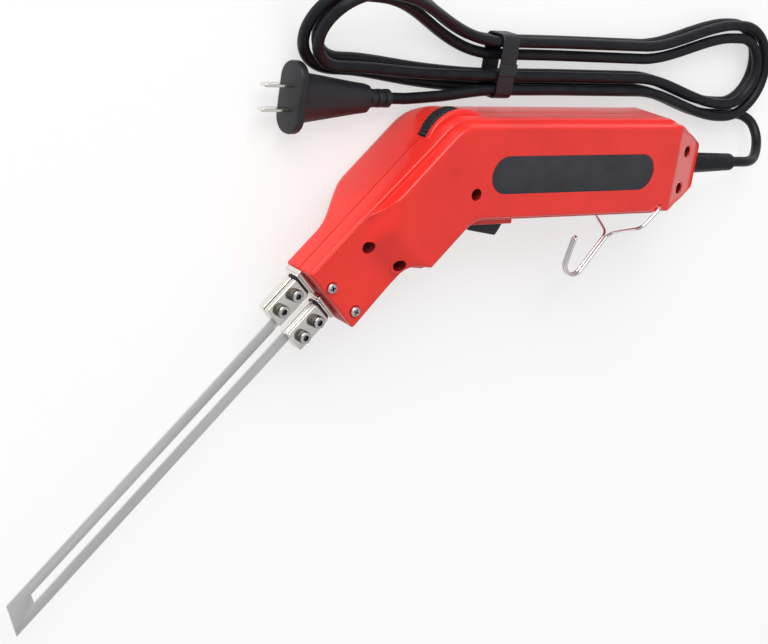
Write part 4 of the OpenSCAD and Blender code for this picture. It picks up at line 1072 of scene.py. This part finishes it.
def strap(path, width, thick):
    """Band round a closed path of (place, outward) pairs in the YZ plane."""
    half, rim = width / 2, 0.3
    section = [(-half, rim), (-half + rim, 0), (half - rim, 0), (half, rim), (half, thick - rim),
               (half - rim, thick), (-half + rim, thick), (-half, thick - rim)]
    return loft([[(TIE_X + a, y + b * ny, z + b * nz) for a, b in section]
                 for (y, z), (ny, nz) in path], closed=True)


TIE_T, TIE_W, TIE_GAP, TIE_R = 1.2, 11.5, 0.3, CORD_D / 2
BUCKLE_HALF_W, BUCKLE_LEN = 6.3, 7
tie_low = (HANK_Y - lane_waist(0) - CORD_D / 2 - TIE_GAP, TIE_T)
tie_high = (HANK_Y + lane_waist(1) + CORD_D / 2 + TIE_GAP, TIE_LIFT + CORD_D + LAYER + TIE_GAP)
tie_path = []
for (cy, side_y), (cz, side_z), first in (
        ((tie_high[0], 1), (tie_high[1], 1), 0), ((tie_low[0], -1), (tie_high[1], 1), 90),
        ((tie_low[0], -1), (tie_low[1], -1), 180), ((tie_high[0], 1), (tie_low[1], -1), 270)):
    my, mz = cy - TIE_R * side_y, cz - TIE_R * side_z
    for k in range(9):
        a = radians(first + 90 * k / 8)
        out_y, out_z = cos(a), sin(a)
        tie_path.append(((my + TIE_R * out_y, mz + TIE_R * out_z), (out_y, out_z)))
piece("cord_strap", [strap(tie_path, TIE_W, TIE_T)], "cord_tie")
buckle = box((TIE_X - BUCKLE_HALF_W, HANK_Y - BUCKLE_LEN, tie_high[1] + 0.2),
             (TIE_X + BUCKLE_HALF_W, HANK_Y, tie_high[1] + 1.9), AS_GIVEN, 0.6)
place_mesh("strap_buckle", gathered("strap_buckle", [buckle]), "black_plastic", skin="glossy_black")

PLUG_BODY, PLUG_FACE = PLUG_TIP_X - 15, PLUG_TIP_X - 59
FLANGE_T, PIN_HALF_W, PIN_HALF_T, PIN_APART = 5, 3.15, 0.75, 12.7
RELIEF_R, RELIEF_RIB_R, RELIEF_STEP = 3.9, 5.0, 5


def plug_ring(x, half_y, half_z, r):
    """Section of the flange."""
    return [(x, PLUG_Y + y, PLUG_Z + z)
            for y, z in round_rect((-half_y, -half_z), (half_y, half_z), r, 8)]


plug_flange = loft([plug_ring(PLUG_FACE - FLANGE_T + d, 19 - i, 10 - i, 9.5 - i)
                    for d, i in ((0, 0.8), (0.2, 0.3), (0.8, 0), (4.0, 0), (4.6, 0.25),
                                 (FLANGE_T, 0.8))])


def plug_facets(x, half_y, half_z):
    """Eight sided section with its corners taken off."""
    corners = [Vector((y * half_y, z * half_z)) for y, z in (
        (1, -0.5), (1, 0.5), (0.42, 1), (-0.42, 1), (-1, 0.5), (-1, -0.5), (-0.42, -1), (0.42, -1))]
    ring = []
    for k, c in enumerate(corners):
        for other in (corners[k - 1], corners[(k + 1) % 8]):
            p = c.lerp(other, 0.14)
            ring.append((x, PLUG_Y + p.x, PLUG_Z + p.y))
    return ring


plug_grip = loft([plug_facets(PLUG_FACE + d, y, z) for d, y, z in (
    (-0.5, 13.9, 9.6), (0.5, 13.3, 9.3), (2, 12.9, 9.0), (36, 8.2, 6.9), (42.6, 7.5, 6.5),
    (43.6, 7.1, 6.1), (44, 6.4, 5.4))])
relief = [(3.6, PLUG_BODY - 0.5), (RELIEF_R, PLUG_BODY - 0.4)]
for k in range(3):
    x = PLUG_BODY + 1.0 + RELIEF_STEP * k
    relief += [(RELIEF_R, x), (4.7, x + 0.1), (RELIEF_RIB_R, x + 0.4), (RELIEF_RIB_R, x + 3.0),
               (4.7, x + 3.3), (RELIEF_R, x + 3.4)]
relief += [(RELIEF_R, PLUG_TIP_X - 0.4), (3.5, PLUG_TIP_X)]
plug_relief = lathe(relief, along_x(PLUG_Y, PLUG_Z))
plug_piece = piece("moulded_plug", [plug_flange, plug_grip, plug_relief], "plug_body")
pin_root, pin_end = PLUG_FACE - FLANGE_T, PLUG_FACE - 22
pin_edge = [(pin_root, -PIN_HALF_W), (pin_root, PIN_HALF_W), (pin_end + 1, PIN_HALF_W),
            (pin_end, 2.2), (pin_end, -2.2), (pin_end + 1, -PIN_HALF_W)]
pins_at = axes((0, PLUG_Y, PLUG_Z), X, Z, Y)
pins = [slab(pin_edge, middle - PIN_HALF_T, middle + PIN_HALF_T, pins_at, 0.25)
        for middle in (-PIN_APART / 2, PIN_APART / 2)]
pin_piece = piece("flat_pins", pins, "plug_pins")


# Stage: floor, light and camera

# Floor: half its size and its drop in metres, and the share of its glow to eye and mirrors
FLOOR_HALF, FLOOR_DROP, FLOOR_GLOW = 6.0, 0.0004, 0.6
# Brightness of the sky by height, as (height, level)
SKY = ((0.0, 0.55), (0.2, 0.42), (0.45, 0.6), (0.8, 0.85))
SKY_STRENGTH = 0.8
# Camera as fitted to the photograph: axes, place in millimetres, focal length in pixels
RIGHT_AXIS = Vector((0.79686, 0.14271, 0.58707))
UP_AXIS = Vector((0.06826, 0.94421, -0.32218))
FORWARD = Vector((0.60030, -0.29681, -0.74266))
CAMERA_AT = Vector((-584.0, 208.4, 738.4))
FOCAL, PICTURE_W, SENSOR_W = 1750, 768, 36

floor_bm = bmesh.new()
bmesh.ops.create_grid(floor_bm, x_segments=1, y_segments=1, size=FLOOR_HALF)
floor_mesh = bpy.data.meshes.new("floor")
floor_bm.to_mesh(floor_mesh)
floor_bm.free()
floor = bpy.data.objects.new("floor", floor_mesh)
floor.location.z = -FLOOR_DROP
show(floor)
floor_mat = new_material("floor", (0.93, 0.93, 0.93), (0.95, 0.95, 0.95), (0.5, 0.6), coarse=4,
                         bump=0)
nodes = floor_mat.node_tree.nodes
ray, seen, mirrored, part, glow, blend = (nodes.new("ShaderNode" + kind) for kind in (
    "LightPath", "Math", "Math", "Math", "Emission", "MixShader"))
seen.operation = mirrored.operation = "MAXIMUM"
part.operation = "MULTIPLY"
part.inputs[1].default_value = FLOOR_GLOW
join(floor_mat.node_tree,
     (ray, "Is Camera Ray", seen, 0), (ray, "Is Glossy Ray", seen, 1),
     (seen, "Value", mirrored, 0), (ray, "Is Transmission Ray", mirrored, 1),
     (mirrored, "Value", part, 0), (part, "Value", blend, "Fac"),
     (nodes["Principled BSDF"], "BSDF", blend, 1), (glow, "Emission", blend, 2),
     (blend, "Shader", nodes["Material Output"], "Surface"))
floor_mesh.materials.append(floor_mat)

world = bpy.data.worlds.new("studio")
bpy.context.scene.world = world
world.use_nodes = True
nodes = world.node_tree.nodes
direction, height, tone, ray, backdrop, blend = (nodes.new("ShaderNode" + kind) for kind in (
    "TexCoord", "SeparateXYZ", "ValToRGB", "LightPath", "Background", "MixShader"))
sky = nodes["Background"]
for spot, (place, level) in enumerate(SKY):
    stop = tone.color_ramp.elements[spot] if spot < 2 else tone.color_ramp.elements.new(place)
    stop.position = place
    stop.color = (level, level, level, 1)
sky.inputs["Strength"].default_value = SKY_STRENGTH
# white behind the part for the camera alone
backdrop.inputs["Color"].default_value = (1, 1, 1, 1)
join(world.node_tree,
     (direction, "Generated", height, "Vector"), (height, "Z", tone, "Fac"),
     (tone, "Color", sky, "Color"), (ray, "Is Camera Ray", blend, "Fac"),
     (sky, "Background", blend, 1), (backdrop, "Background", blend, 2),
     (blend, "Shader", nodes["World Output"], "Surface"))


def area_light(name, toward, distance, size, power):
    """A square light that looks at the part."""
    light = bpy.data.lights.new(name, "AREA")
    light.size = size
    light.energy = power
    obj = bpy.data.objects.new(name, light)
    direction = Vector(toward).normalized()
    obj.location = direction * distance + Vector((0.05, 0, 0))
    obj.rotation_euler = (-direction).to_track_quat("-Z", "Y").to_euler()
    show(obj)


area_light("key", toward=(-0.4, 0.77, 0.5), distance=4.0, size=3.4, power=180)

camera_data = bpy.data.cameras.new("camera")
camera_data.sensor_width = SENSOR_W
camera_data.lens = FOCAL / PICTURE_W * SENSOR_W
camera_data.clip_start = 0.01
camera = bpy.data.objects.new("camera", camera_data)
turn = Matrix((RIGHT_AXIS, UP_AXIS, -FORWARD)).transposed().to_4x4()
camera.matrix_world = Matrix.Translation(CAMERA_AT * MM) @ turn
show(camera)
bpy.context.scene.camera = camera
bpy.context.scene.view_settings.view_transform = "Standard"
